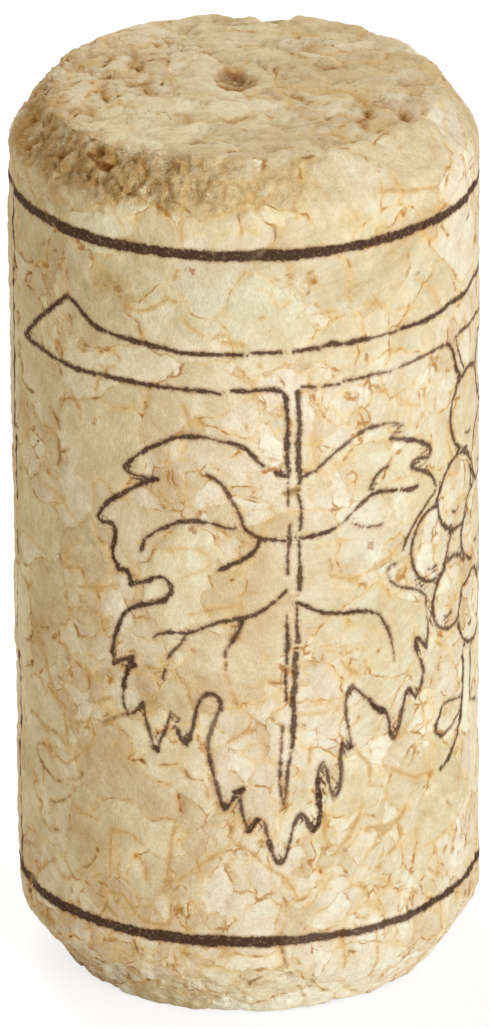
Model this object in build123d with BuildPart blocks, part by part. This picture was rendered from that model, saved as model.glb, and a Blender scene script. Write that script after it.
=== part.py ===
from build123d import *

# Wine cork, stood on its end: a straight agglomerated stopper, one solid of cork granules pressed and glued.
# The wall is a ground cylinder. Both ends are cut flat and have a ground chamfer, the lower one the larger,
# with every edge worn round. Granules at the skin have torn out here and there, and each has left
# a small flat-bottomed pocket with sloping sides, cut square to the skin that it lies in.
# The origin is the middle of the lower end, +Z runs up the axis, and the printed front faces -Y.

import os
from math import atan2, cos, degrees, radians, sin
from typing import NamedTuple

# Driving dimensions in millimetres
cork_diameter = 22.3
cork_length = 44.0
top_chamfer_width = 1.63
top_chamfer_height = 2.36
base_chamfer_width = 2.14
base_chamfer_height = 2.87
end_edge_radius = 0.35  # where a chamfer meets an end face
shoulder_radius = 1.6  # where a chamfer meets the wall

# The shape that all the pockets share
granule_corners = 7
granule_unevenness = 0.2
floor_share = 0.55  # a pocket's floor as a share of its outline at the skin
floor_lean = 0.1  # how far the floor lies off the middle, as a share of the pocket's length
mouth_lift = 0.25  # how far a cut starts outside the skin


class Pocket(NamedTuple):
    """A torn-out granule, with its bearing in degrees round the axis, from the front to the right."""

    bearing: float
    place: float  # in from the rim, down the chamfer, or from the nearer end, as its list says
    width: float  # across the cork
    length: float
    depth: float
    turn: float  # degrees


# In from the rim of the upper end. The first is the deep hole near the middle.
top_pockets = [
    Pocket(-163, 8.1, 1.4, 2.7, 1.3, 8),
    Pocket(-126, 3.2, 0.6, 1.2, 0.7, 35),
    Pocket(-102, 4.6, 1.3, 1.9, 0.4, 60),
    Pocket(-95, 3.0, 0.4, 1.5, 0.5, 95),
    Pocket(162, 6.4, 0.45, 1.0, 0.7, 5),
    Pocket(123, 4.8, 1.2, 1.8, 0.45, 140),
    Pocket(58, 7.0, 0.9, 0.9, 0.4, 20),
    Pocket(73, 3.7, 0.7, 1.6, 0.4, 65),
    Pocket(54, 2.3, 0.6, 1.9, 0.6, 50),
    Pocket(65, 1.1, 0.6, 1.2, 0.8, 70),
    Pocket(2, 3.6, 0.8, 0.8, 0.35, 10),
    Pocket(-17, 2.3, 0.9, 0.6, 0.4, 25),
    Pocket(-176, 1.2, 0.9, 1.3, 0.3, 15),
]
# Down the slope of the upper chamfer. The last three are chips that break its rim.
top_chamfer_pockets = [
    Pocket(-56, 1.5, 0.9, 0.5, 0.5, 10),
    Pocket(-43, 0.8, 0.8, 1.1, 0.6, 30),
    Pocket(17, 0.2, 0.7, 0.5, 0.4, 0),
    Pocket(-2, 2.5, 0.4, 0.9, 0.35, 0),
    Pocket(-112, 0.1, 1.1, 0.8, 0.35, 20),
    Pocket(139, 0.1, 1.0, 0.7, 0.3, 0),
    Pocket(175, 0.1, 0.8, 0.6, 0.35, 40),
]
# Down the wall from the upper end
upper_wall_pockets = [
    Pocket(-53, 16.2, 0.5, 1.3, 0.35, 35),
    Pocket(128, 9.5, 0.7, 1.3, 0.5, 20),
    Pocket(-118, 14.0, 0.5, 1.0, 0.4, -30),
    Pocket(176, 19.5, 1.0, 0.6, 0.45, 10),
    Pocket(-152, 7.0, 0.5, 0.7, 0.4, 60),
]
# Up the wall from the lower end
lower_wall_pockets = [
    Pocket(-17.3, 11.7, 0.4, 1.1, 0.5, -5),
    Pocket(-28.5, 8.7, 0.4, 0.5, 0.4, 40),
    Pocket(-26.1, 7.9, 0.5, 1.1, 0.4, 25),
    Pocket(18, 8.1, 0.5, 0.4, 0.4, 0),
    Pocket(23.5, 4.5, 0.4, 0.6, 0.35, 15),
    Pocket(96, 15.0, 0.5, 1.2, 0.4, 25),
    Pocket(150, 10.5, 0.9, 0.7, 0.5, 0),
    Pocket(-138, 12.0, 0.6, 1.4, 0.45, -20),
    Pocket(-98, 7.5, 0.7, 0.5, 0.4, 10),
]
# Up the slope of the lower chamfer
base_chamfer_pockets = [
    Pocket(9, 3.0, 0.7, 0.8, 0.4, 20),
    Pocket(-33, 2.6, 0.6, 1.0, 0.35, -15),
    Pocket(-110, 1.2, 0.9, 0.7, 0.4, 30),
    Pocket(84, 1.8, 0.7, 1.1, 0.4, 0),
    Pocket(168, 1.0, 1.0, 0.8, 0.45, 15),
]
# In from the rim of the lower end
base_pockets = [
    Pocket(-30, 2.0, 0.8, 1.2, 0.5, 20),
    Pocket(38, 4.6, 1.3, 1.7, 0.7, 75),
    Pocket(92, 1.6, 0.5, 1.1, 0.4, 100),
    Pocket(140, 5.2, 0.8, 0.9, 0.5, 30),
    Pocket(-160, 2.8, 0.6, 1.3, 0.5, 60),
    Pocket(-98, 5.6, 1.0, 1.5, 0.5, -30),
]

# Sizes that follow
cork_radius = cork_diameter / 2
top_face_radius = cork_radius - top_chamfer_width
base_face_radius = cork_radius - base_chamfer_width
top_lean = degrees(atan2(top_chamfer_width, top_chamfer_height))
base_lean = -degrees(atan2(base_chamfer_width, base_chamfer_height))


def skin_plane(bearing, radius, height, lean):
    """The plane that touches the skin at a point, where the skin's normal rises by lean degrees from level."""
    around = radians(bearing)
    rise = radians(lean)
    return Plane(
        origin=(radius * sin(around), -radius * cos(around), height),
        x_dir=(cos(around), sin(around), 0),
        z_dir=(sin(around) * cos(rise), -cos(around) * cos(rise), sin(rise)),
    )


def granule_outline(pocket, share, shift):
    """The corners of a granule's uneven outline, at a share of its size and shifted along its length."""
    corners = []
    for corner in range(granule_corners):
        angle = radians(360 * corner / granule_corners)
        reach = share * (1 + granule_unevenness * sin(2.4 * corner + pocket.turn))
        across = pocket.width / 2 * reach * cos(angle)
        along = pocket.length / 2 * reach * sin(angle) + shift
        corners.append(Vector(across, along).rotate(Axis.Z, pocket.turn))
    return corners


# Each pocket with the plane that touches the skin over it
torn_places = []
for pocket in top_pockets:
    torn_places.append((skin_plane(pocket.bearing, top_face_radius - pocket.place, cork_length, 90), pocket))
for pocket in top_chamfer_pockets:
    across = pocket.place * sin(radians(top_lean))
    down = pocket.place * cos(radians(top_lean))
    torn_places.append((skin_plane(pocket.bearing, top_face_radius + across, cork_length - down, top_lean), pocket))
for pocket in upper_wall_pockets:
    torn_places.append((skin_plane(pocket.bearing, cork_radius, cork_length - pocket.place, 0), pocket))
for pocket in lower_wall_pockets:
    torn_places.append((skin_plane(pocket.bearing, cork_radius, pocket.place, 0), pocket))
for pocket in base_chamfer_pockets:
    across = pocket.place * sin(radians(-base_lean))
    up = pocket.place * cos(radians(base_lean))
    torn_places.append((skin_plane(pocket.bearing, base_face_radius + across, up, base_lean), pocket))
for pocket in base_pockets:
    torn_places.append((skin_plane(pocket.bearing, base_face_radius - pocket.place, 0, -90), pocket))

with BuildPart() as cork:
    # Half of the long section, turned round the axis
    with BuildSketch(Plane.XZ) as half_section:
        with BuildLine():
            Polyline(
                (0, 0),
                (base_face_radius, 0),
                (cork_radius, base_chamfer_height),
                (cork_radius, cork_length - top_chamfer_height),
                (top_face_radius, cork_length),
                (0, cork_length),
                close=True,
            )
        make_face()
        # The two shoulders lie furthest from the axis, and the two end edges just inside them
        rings = half_section.vertices().filter_by(lambda corner: corner.X > 0)
        fillet(rings.sort_by(Axis.X)[-2:], radius=shoulder_radius)
        rings = half_section.vertices().filter_by(lambda corner: corner.Y in (0, cork_length) and corner.X > 0)
        fillet(rings, radius=end_edge_radius)
    revolve(axis=Axis.Z)
    # Each pocket runs from an outline outside the skin to a smaller one at its floor
    for skin, pocket in torn_places:
        mouth_share = 1 + (1 - floor_share) * mouth_lift / pocket.depth
        with BuildSketch(skin.offset(mouth_lift)):
            with BuildLine():
                Polyline(granule_outline(pocket, mouth_share, 0), close=True)
            make_face()
        with BuildSketch(skin.offset(-pocket.depth)):
            with BuildLine():
                Polyline(granule_outline(pocket, floor_share, floor_lean * pocket.length), close=True)
            make_face()
        loft(ruled=True, mode=Mode.SUBTRACT)

cork.part.label = "cork"
os.makedirs("parts", exist_ok=True)
export_step(cork.part, "parts/cork.step")
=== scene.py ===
import math

import bpy
import numpy as np
from mathutils import Matrix, Vector
from mathutils import noise as crumble_noise
from mathutils.bvhtree import BVHTree


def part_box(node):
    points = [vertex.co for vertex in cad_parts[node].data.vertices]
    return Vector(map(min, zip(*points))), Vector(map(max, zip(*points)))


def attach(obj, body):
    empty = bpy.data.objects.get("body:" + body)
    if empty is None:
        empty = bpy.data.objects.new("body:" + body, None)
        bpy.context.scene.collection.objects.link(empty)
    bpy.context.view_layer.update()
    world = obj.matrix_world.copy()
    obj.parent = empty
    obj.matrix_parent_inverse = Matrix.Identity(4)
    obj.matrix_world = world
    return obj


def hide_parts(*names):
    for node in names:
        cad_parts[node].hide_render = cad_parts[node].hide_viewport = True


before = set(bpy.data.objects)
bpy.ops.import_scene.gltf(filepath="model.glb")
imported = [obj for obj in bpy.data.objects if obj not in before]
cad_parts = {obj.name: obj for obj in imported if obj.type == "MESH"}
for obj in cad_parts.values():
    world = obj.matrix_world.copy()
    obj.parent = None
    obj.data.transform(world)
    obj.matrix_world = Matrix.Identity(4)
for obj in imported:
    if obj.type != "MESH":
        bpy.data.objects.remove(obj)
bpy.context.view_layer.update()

# Ground body
# A wine cork is a block of pressed cork granules, ground to a cylinder, cut flat at both ends and chamfered.
# Its skin is one fine mesh laid round the axis in rings that follow the long section. Lengths are in millimetres
# until the mesh is made, and a bearing is an angle round the axis, from the printed front to its right.

MM = 0.001
box_margin = 0.008
cork_low, cork_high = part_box("cork")
cork_radius = (cork_high.x - cork_low.x) / 2 / MM - box_margin
cork_length = (cork_high.z - cork_low.z) / MM
top_chamfer = (1.63, 2.36)
base_chamfer = (2.14, 2.87)
end_rounding = 0.35
shoulder_rounding = 1.6
rounding_steps = 12
section_samples = 6000
# The mesh is finer at the ends and chamfers, which are rough, and towards the printed front
wall_step = 0.205
fine_step = 0.15
fine_margin = 1
column_share = 1.1
front_crowding = 0.16
front_bearing = math.radians(6)


def rounded_section(corners, roundings):
    """Radius, height, outward normal, path length and step along a section with rounded corners."""
    places = [np.array(corners[0], float)]
    directions = []
    for index in range(1, len(corners) - 1):
        before, corner, after = (np.array(corners[index + k], float) for k in (-1, 0, 1))
        inward = (corner - before) / np.linalg.norm(corner - before)
        onward = (after - corner) / np.linalg.norm(after - corner)
        turn = math.acos(float(np.clip(inward @ onward, -1, 1)))
        reach = roundings[index - 1] * math.tan(turn / 2)
        directions.append(inward)
        places.append(corner - inward * reach)
        left = np.array([-inward[1], inward[0]])
        centre = places[-1] + left * roundings[index - 1]
        for share in np.linspace(0, 1, rounding_steps + 1)[1:]:
            angle = turn * share
            directions.append(inward * math.cos(angle) + left * math.sin(angle))
            places.append(centre - (left * math.cos(angle) - inward * math.sin(angle)) * roundings[index - 1])
    last = np.array(corners[-1], float)
    directions.append((last - places[-1]) / np.linalg.norm(last - places[-1]))
    places.append(last)
    directions.append(directions[-1])
    places, directions = np.array(places), np.array(directions)
    along = np.concatenate([[0], np.cumsum(np.linalg.norm(np.diff(places, axis=0), axis=1))])
    fine = np.linspace(0, along[-1], section_samples)
    r, z = (np.interp(fine, along, column) for column in places.T)
    near_top = z > cork_length - top_chamfer[1] - fine_margin
    near_base = (z < base_chamfer[1] + fine_margin) & (r > cork_radius - base_chamfer[0] - fine_margin)
    steps = np.where(near_top | near_base, fine_step, wall_step)
    passed = np.concatenate([[0], np.cumsum(np.diff(fine) / steps[1:])])
    at = np.interp(np.linspace(0, passed[-1], round(passed[-1]) + 1), passed, fine)
    r, z, dr, dz = (np.interp(at, along, column) for column in (*places.T, *directions.T))
    size = np.hypot(dr, dz)
    return r, z, dz / size, -dr / size, at, np.interp(at, fine, steps)


section = rounded_section(
    [
        (0, 0),
        (cork_radius - base_chamfer[0], 0),
        (cork_radius, base_chamfer[1]),
        (cork_radius, cork_length - top_chamfer[1]),
        (cork_radius - top_chamfer[0], cork_length),
        (0, cork_length),
    ],
    [end_rounding, shoulder_rounding, shoulder_rounding, end_rounding],
)
section_length = section[4][-1]
rings = []
skin, normals, bearings, path = [], [], [], []
for row, (r, z, normal_r, normal_z, at, step) in enumerate(zip(*section)):
    count = max(1, round(2 * math.pi * r / (step * column_share)))
    share = (np.arange(count) + 0.5 * (row % 2)) / count
    bearing = front_bearing + 2 * math.pi * share - front_crowding * np.sin(2 * math.pi * share)
    rings.append((len(bearings), share))
    bearings.extend(bearing)
    path.extend([at] * count)
    skin.append(np.stack([r * np.sin(bearing), -r * np.cos(bearing), np.full(count, z)], axis=1))
    normals.append(
        np.stack([normal_r * np.sin(bearing), -normal_r * np.cos(bearing), np.full(count, normal_z)], axis=1)
    )
skin, normals, bearings, path = np.concatenate(skin), np.concatenate(normals), np.array(bearings), np.array(path)
bearings = (bearings + math.pi) % (2 * math.pi) - math.pi


def stitch(lower, upper):
    """Triangles between two neighbouring rings, whatever their counts."""
    (low_start, low_share), (high_start, high_share) = lower, upper
    low_next = np.append(low_share[1:], low_share[0] + 1)
    high_next = np.append(high_share[1:], high_share[0] + 1)
    low_count, high_count = len(low_share), len(high_share)
    i = j = 0
    made = []
    while i < low_count or j < high_count:
        low_due = low_next[i] if i < low_count and low_count > 1 else math.inf
        high_due = high_next[j] if j < high_count and high_count > 1 else math.inf
        if low_due == high_due == math.inf:
            break
        a, b = low_start + i % low_count, high_start + j % high_count
        if low_due < high_due:
            made.append((a, low_start + (i + 1) % low_count, b))
            i += 1
        else:
            made.append((high_start + (j + 1) % high_count, b, a))
            j += 1
    return made


triangles = []
for lower, upper in zip(rings, rings[1:]):
    triangles.extend(stitch(lower, upper))

# Torn pockets
# Granules have torn out of the skin here and there. The pockets are in the CAD body, so each point of the skin
# is dropped onto it, a little off its place, which leaves their edges crumbled. Depths that come from the facets
# of the CAD body are left out.

facet_error = 0.045
pocket_limit = 0.5
softening = 3
crumbling = 0.36
crumbling_seed = 4
coarse_drift, fine_drift, fine_drift_share = 1.3, 3.6, 0.7
probe_start, probe_reach = 1, 4
tree = BVHTree.FromObject(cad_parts["cork"], bpy.context.evaluated_depsgraph_get())
pocket = np.zeros(len(skin))
# A noise vector takes its place in the noise from the clock unless it is given a seed.
crumble_noise.seed_set(crumbling_seed)
for index, (place, normal) in enumerate(zip(skin, normals)):
    at, outward = Vector(place), Vector(normal)
    shift = crumble_noise.noise_vector(at * coarse_drift)
    shift += crumble_noise.noise_vector(at * fine_drift) * fine_drift_share
    shift -= outward * shift.dot(outward)
    start = at + outward * probe_start + shift * crumbling
    hit = tree.ray_cast(start * MM, -outward, probe_reach * MM)
    if hit[0] is not None:
        pocket[index] = hit[3] / MM - probe_start
pocket[pocket < facet_error] = 0
pocket = pocket_limit * np.tanh(pocket / pocket_limit)
sides = np.concatenate([np.array(triangles)[:, [a, b]] for a, b in ((0, 1), (1, 2), (2, 0))])
neighbours = np.bincount(sides[:, 0], minlength=len(skin))
for _ in range(softening):
    around = np.bincount(sides[:, 0], weights=pocket[sides[:, 1]], minlength=len(skin)) / neighbours
    pocket = (pocket + around) / 2

body_mesh = bpy.data.meshes.new("pressed_cork")
body_mesh.from_pydata((skin * MM).tolist(), [], triangles)
body = bpy.data.objects.new("pressed_cork", body_mesh)
bpy.context.scene.collection.objects.link(body)


def keep(name, values):
    """Stores a value or a vector for each point of the skin, for the material to read."""
    values = np.asarray(values, np.float32)
    kind, key = ("FLOAT_VECTOR", "vector") if values.ndim == 2 else ("FLOAT", "value")
    layer = body_mesh.attributes.new(name, kind, "POINT")
    layer.data.foreach_set(key, values.ravel())


keep("skin_point", skin)
keep("skin_normal", normals)

# Cracks, stains, and painted light and shade
# Where granules meet, the glue shows as golden lines, and as brown ones where the joint has opened. Granules from
# near the bark are brown or grey, others pale. Those at the printed front and on top are listed one by one, as lines
# and patches in places along and up the wall, or across an end, and in millimetres.


line_parts = 4
line_reach = 0.6
crack_taper = 0.55


def flowing(points):
    """A smooth line through chosen points."""
    points = np.array(points, float)
    if len(points) < 3:
        return points
    points = np.concatenate([points[:1], points, points[-1:]])
    made = []
    for a, b, c, d in zip(points, points[1:], points[2:], points[3:]):
        for t in np.arange(line_parts) / line_parts:
            curve = (2 * a - 5 * b + 4 * c - d) * t**2 + (3 * b - a - 3 * c + d) * t**3
            made.append(0.5 * (2 * b + (c - a) * t + curve))
    made.append(points[-1])
    return np.array(made)


def stroke(width, points, strength=1.0, taper=0.0):
    """A line's points with its width at each, narrower at the ends where it tapers, and its strength."""
    points = flowing(points)
    if points.shape[1] == 2:
        share = np.linspace(-1, 1, len(points))
        points = np.column_stack([points, width * (1 - taper * share**2)])
    return points, strength


def line_fields(places, strokes):
    """For each place, the way from the nearest line's middle and its half width, how far outside the line's edge the
    place lies, and the line's strength."""
    edge = np.full(len(places), line_reach)
    offset = np.zeros((len(places), 3))
    strength = np.zeros(len(places))
    for points, stroke_strength in strokes:
        margin = line_reach + points[:, 2].max()
        near = np.flatnonzero(
            np.all((places > points[:, :2].min(0) - margin) & (places < points[:, :2].max(0) + margin), axis=1)
        )
        for a, b in zip(points, points[1:]):
            span = b[:2] - a[:2]
            share = np.clip((places[near] - a[:2]) @ span / max(span @ span, 1e-9), 0, 1)
            away = places[near] - a[:2] - share[:, None] * span
            half = (a[2] + share * (b[2] - a[2])) / 2
            outside = np.linalg.norm(away, axis=1) - half
            better = outside < edge[near]
            chosen = near[better]
            edge[chosen] = outside[better]
            offset[chosen] = np.column_stack([away, half])[better]
            strength[chosen] = stroke_strength
    return offset, edge, strength


FAINT, GOLDEN, BROWN, DARK = 0.25, 0.5, 0.75, 1.0
wall_cracks = {
    FAINT: [
        (0.15, [(-7.2, 30.75), (-6.5, 30.65)]),
        (0.2, [(-3.2, 23.3), (-2.2, 23.7), (-1.7, 24.1), (-1.9, 24.6), (-2.5, 24.9), (-4, 24.7), (-5.5, 24.8)]),
        (0.16, [(-11.4, 9.8), (-11.2, 9.4), (-10.9, 8.9)]),
        (0.2, [(-7.6, 4.4), (-6.9, 4.0)]),
        (0.2, [(9.1, 37.1), (9.7, 36.5), (10.2, 36.1), (10.7, 35.2)]),
        (0.16, [(-8.7, 24.1), (-9.5, 23.5), (-9.7, 22.8), (-9.9, 22.4)]),
        (0.2, [(4.1, 7.9), (3.6, 7.2)]),
        (0.16, [(9.3, 14.9), (9.9, 14.2)]),
        (0.13, [(2.6, 17.05), (3.6, 16.9), (5.0, 17.0)]),
        (0.13, [(2.4, 16.4), (3.2, 16.35), (4.3, 16.45)]),
        (0.14, [(9.0, 7.9), (11.3, 7.95), (11.9, 7.4)]),
        (0.15, [(3.5, 32.3), (3.55, 31.7), (3.5, 31.1)]),
        (0.15, [(7.6, 31.9), (8.2, 31.1), (9.3, 30.6)]),
        (0.16, [(4.9, 28.0), (4.9, 27.3)]),
        (0.16, [(3.5, 24.8), (4.3, 25.0), (5.0, 24.9)]),
        (0.14, [(-10.9, 33.9), (-10.1, 33.5), (-9.4, 33.6)]),
        (0.16, [(-12.5, 26.2), (-10.5, 25.9), (-9.5, 25.3), (-8.7, 24.9)]),
        (0.14, [(7.8, 35.9), (9.3, 35.6)]),
        (0.12, [(0.6, 38.0), (1.2, 37.75), (1.6, 37.0), (2.1, 37.3)]),
        (0.14, [(7.9, 5.9), (7.0, 6.9), (6.2, 7.2)]),
    ],
    GOLDEN: [
        (0.17, [(-5.9, 36.6), (-5.0, 36.55), (-4.4, 36.8), (-3.9, 37.15), (-3.7, 37.3), (-3.2, 37.2)]),
        (0.13, [(-3.8, 37.8), (-3.7, 37.4)]),
        (0.22, [(-3.3, 38.4), (-3.2, 38.7)]),
        (0.14, [(-2.9, 36.5), (-2.6, 36.1), (-2.1, 35.7)]),
        (0.17, [(-1.6, 35.4), (-1.2, 35.7), (-0.9, 35.7)]),
        (0.32, [(-1.0, 35.35), (-0.1, 35.25)]),
        (0.14, [(-6.5, 34.2), (-6.2, 33.9)]),
        (0.13, [(-7.0, 33.1), (-6.5, 33.5)]),
        (0.13, [(-7.4, 32.6), (-7.6, 32.0)]),
        (0.17, [(-3.0, 32.1), (-2.7, 31.6), (-2.7, 30.9)]),
        (0.14, [(-4.2, 27.8), (-4.0, 27.4), (-3.6, 27.0)]),
        (0.15, [(-2.7, 21.5), (-2.0, 21.7), (-1.3, 21.9), (-0.5, 22.0)]),
        # This line is a painted shadow above a raised ledge, which has a painted highlight below it
        (0.15, [(-8.74, 21.72), (-7.4, 22.04), (-6.4, 22.4)]),
        (0.18, [(-7.4, 20.6), (-7.1, 19.7)]),
        (0.13, [(-13.3, 15.5), (-12.9, 15.8), (-12.3, 15.8), (-11.9, 15.5), (-11.6, 15.3)]),
        (0.15, [(-11.5, 15.8), (-11.0, 15.5), (-10.6, 15.2), (-10.2, 14.9)]),
        (0.15, [(-11.9, 17.8), (-11.4, 16.5), (-10.2, 15.1), (-9.7, 14.6), (-9.0, 14.65), (-8.5, 14.85), (-8.1, 15.1),
                (-7.4, 15.1)]),
        (0.13, [(-8.0, 16.0), (-7.3, 16.3), (-6.9, 16.6)]),
        (0.14, [(-8.1, 15.0), (-8.0, 14.4), (-8.1, 13.8), (-8.5, 13.4)]),
        (0.13, [(-10, 14.5), (-9.8, 14.0), (-9.6, 13.2)]),
        (0.14, [(-13.5, 13.6), (-12.9, 13.7), (-12.0, 13.5), (-10.5, 13.5), (-9.9, 13.2), (-8.9, 13.4), (-8.6, 13.3)]),
        (0.15, [(-11.6, 12.9), (-11.5, 12.5), (-11.2, 12.2), (-10.6, 12.3), (-10.0, 12.2), (-9.4, 12.6), (-8.8, 13.2)]),
        (0.13, [(-12.0, 11.2), (-11.9, 10.5)]),
        (0.16, [(-9.5, 10.4), (-8.9, 10.1), (-7.8, 10.0)]),
        (0.15, [(-13.0, 5.3), (-12.4, 5.8), (-11.5, 6.5), (-10.9, 6.9)]),
        (0.15, [(-7.6, 5.8), (-7.0, 5.5), (-6.7, 5.2)]),
        (0.14, [(-10.6, 6.4), (-10.0, 6.2), (-9.7, 6.4)]),
        (0.15, [(-7.1, 7.2), (-7.0, 8.4), (-6.9, 9.7), (-6.4, 9.75), (-6.0, 9.8), (-5.6, 9.6), (-5.2, 9.3)]),
        (0.34, [(-5.3, 8.3), (-5.1, 7.5)]),
        (0.16, [(-7.4, 6.3), (-6.5, 6.5), (-6.1, 6.2), (-5.7, 5.7), (-5.2, 5.35), (-4.5, 5.3), (-4.0, 5.4), (-3.8, 5.8),
                (-3.85, 6.2)]),
        (0.14, [(-4.0, 7.4), (-3.7, 7.7), (-3.3, 7.8), (-2.7, 8.4), (-2.2, 8.75), (-1.6, 9.2), (-0.7, 9.9)]),
        (0.13, [(-4.0, 7.8), (-3.8, 9.0), (-3.7, 10.0), (-3.5, 10.5)]),
        (0.14, [(-2.0, 12.7), (-1.9, 12.2)]),
        (0.18, [(-8.8, 4.0), (-8.3, 4.2)]),
        (0.14, [(-4.5, 3.9), (-4.2, 3.6)]),
        (0.14, [(-3.4, 3.8), (-2.9, 4.4)]),
        (0.14, [(-6.4, 3.5), (-6.0, 3.3)]),
        (0.14, [(4.6, 18.8), (5.0, 18.3), (5.5, 17.9)]),
        (0.15, [(0.2, 16.4), (0.1, 15.8), (-0.3, 15.4), (-1, 15)]),
        (0.13, [(3.0, 14.5), (2.9, 13.8)]),
        (0.15, [(5.3, 14.3), (5.6, 13.7), (6.0, 13.2), (6.1, 12.2)]),
        (0.17, [(6.0, 12.1), (6.7, 11.9)]),
        (0.16, [(6.8, 12.9), (7.3, 12.7), (7.8, 12.3), (8.4, 12.0), (8.9, 11.7), (9.3, 11.75), (10.2, 11.6)]),
        (0.24, [(5.7, 11.3), (5.5, 10.7), (5.2, 10.1), (4.6, 9.3), (4.1, 8.9)]),
        (0.26, [(5.9, 9.8), (6.8, 9.7), (7.7, 9.8), (8.3, 10.3)]),
        (0.12, [(6.2, 8.7), (6.5, 9.2), (7.2, 9.5), (7.9, 9.4), (7.9, 8.8), (7.4, 8.3), (6.7, 8.2)]),
        (0.13, [(-0.5, 9.8), (0.2, 9.3), (0.9, 8.6), (1.6, 8.1), (2.0, 7.6), (2.3, 7.0)]),
        (0.26, [(6.6, 5.85), (6.65, 5.95)]),
        (0.3, [(8.7, 5.85), (8.9, 5.7)]),
        (0.26, [(10.4, 6.2), (10.6, 6.1)]),
        (0.13, [(3.2, 36.5), (4.3, 36.55)]),
        (0.16, [(6, 36.6), (6.8, 36.4)]),
        (0.16, [(6.4, 36.9), (6.9, 36.2)]),
        (0.2, [(0.25, 38.7), (0.35, 38.65)]),
        (0.22, [(1.45, 38.45), (1.6, 38.4)]),
        (0.22, [(2.05, 38.9), (2.15, 38.95)]),
        (0.25, [(4.35, 39.3), (4.5, 39.25)]),
        (0.16, [(3.75, 11.4), (3.7, 10.4), (3.8, 9.4)]),
        (0.22, [(6.5, 7.75), (6.7, 7.7)]),
        (0.16, [(9.9, 6.6), (10.2, 6.3)]),
        (0.24, [(8.9, 19.4), (8.8, 18.9)]),
        (0.15, [(10.6, 18.1), (11.0, 17.8)]),
        (0.16, [(3.3, 16.97), (3.8, 16.92)]),
        (0.15, [(-1.0, 18.6), (-0.7, 17.6), (-0.5, 17.1)]),
        (0.14, [(6.1, 23.1), (6.8, 23.3), (7.5, 23.6)]),
        (0.15, [(4.0, 23.3), (4.8, 23.0), (5.6, 22.95)]),
        (0.2, [(0.75, 36.55), (0.85, 36.6)]),
        (0.22, [(5.8, 35.6), (5.8, 35.3)]),
        (0.2, [(0.7, 34.2), (0.75, 34.1)]),
        (0.22, [(1.9, 34.2), (2.0, 34.1)]),
        (0.2, [(0.05, 31.2), (0.1, 30.9)]),
        (0.2, [(3.3, 30.2), (3.3, 30.1)]),
        (0.16, [(7.4, 27.3), (7.9, 27.35)]),
        (0.2, [(-0.6, 26.75), (-0.4, 26.8)]),
        (0.13, [(-12.6, 8.9), (-12.0, 8.4), (-11.3, 8.3)]),
        (0.13, [(-14.2, 20.4), (-13.4, 20.1), (-12.9, 20.5)]),
        (0.14, [(-9.2, 31.4), (-8.6, 30.9), (-8.5, 30.3)]),
    ],
    BROWN: [
        (0.16, [(-7.6, 30.6), (-7.7, 30.2)]),
        (0.16, [(-14, 30.4), (-12.9, 30.3), (-12.4, 30.4)]),
        (0.15, [(-11.0, 30.2), (-10.3, 29.7), (-9.9, 29.3)]),
        (0.17, [(-12.1, 28.4), (-11.6, 28.1)]),
        (0.15, [(-10.4, 27.4), (-10.3, 28.0), (-9.9, 28.2), (-9.4, 28.55)]),
        (0.2, [(-10.5, 38.15), (-10.2, 38.3)]),
        (0.17, [(-14, 36.9), (-13, 36.8), (-12.4, 37.0)]),
        (0.17, [(-12.9, 35.55), (-12.3, 35.6)]),
        (0.2, [(-7.3, 24.35), (-7.3, 24.45)]),
        (0.18, [(-6.9, 24.05), (-6.9, 24.15)]),
        (0.26, [(-3.45, 26.75), (-3.35, 26.75)]),
        (0.32, [(-1.0, 19.0), (-1.0, 19.15)]),
        (0.18, [(-12.6, 18.1), (-12.2, 18.2)]),
        (0.16, [(-12.0, 18.55), (-11.3, 18.75)]),
        (0.17, [(-10.4, 18.35), (-10.0, 18.3)]),
        (0.14, [(-13.9, 17.2), (-12.7, 17.5)]),
        (0.18, [(-7.4, 15.1), (-6.6, 15.6), (-6.1, 15.9)]),
        (0.17, [(-12.7, 12.0), (-12.3, 11.6), (-11.9, 11.3), (-11.4, 11.2), (-10.9, 11.0), (-10.3, 11.2)]),
        (0.13, [(-9.9, 11.4), (-9.3, 11.6)]),
        (0.13, [(-9.0, 11.6), (-8.8, 12.2)]),
        (0.16, [(-11.3, 9.8), (-10.9, 9.9), (-10.1, 10.3), (-9.6, 10.7)]),
        (0.3, [(-10.95, 8.5), (-10.65, 8.5)]),
        (0.25, [(-7.8, 8.4), (-7.8, 8.55)]),
        (0.15, [(-8.8, 7.25), (-8.4, 7.4), (-7.9, 8.0)]),
        (0.16, [(-9.25, 6.9), (-9.1, 6.9)]),
        (0.14, [(-8.7, 6.5), (-8.4, 6.4)]),
        (0.14, [(-8.0, 6.1), (-7.6, 6.1)]),
        (0.14, [(-4.2, 13.6), (-3.4, 13.75)]),
        (0.14, [(-3.0, 13.5), (-2.8, 13.1), (-2.2, 13.05)]),
        (0.24, [(6.55, 18.85), (6.65, 18.95)]),
        (0.22, [(2.85, 11.75), (3.0, 11.8)]),
        (0.17, [(1.5, 4.6), (1.6, 4.0), (1.8, 3.3)]),
        (0.25, [(4.9, 3.75), (5.2, 3.65)]),
        (0.15, [(11.3, 9.6), (11.7, 9.2)]),
        (0.28, [(10.95, 39.1), (11.4, 38.5)]),
        (0.26, [(1.75, 27.7), (2.2, 27.75), (2.5, 27.85)]),
        (0.22, [(4.0, 24.1), (4.1, 23.6)]),
        (0.16, [(2.3, 3.7), (2.4, 3.5)]),
        (0.17, [(-0.7, 17.15), (-0.5, 17.0)]),
    ],
    DARK: [
        (0.2, [(-5.75, 8.7), (-5.62, 8.7)]),
        (0.18, [(-5.7, 13.55), (-5.3, 13.65), (-5.0, 13.45)]),
        (0.24, [(-3.4, 12.1), (-3.3, 11.3)]),
        (0.22, [(3.5, 8.03), (3.5, 8.15)]),
        (0.2, [(-0.75, 23.4), (-0.65, 23.4)]),
    ],
}
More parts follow.
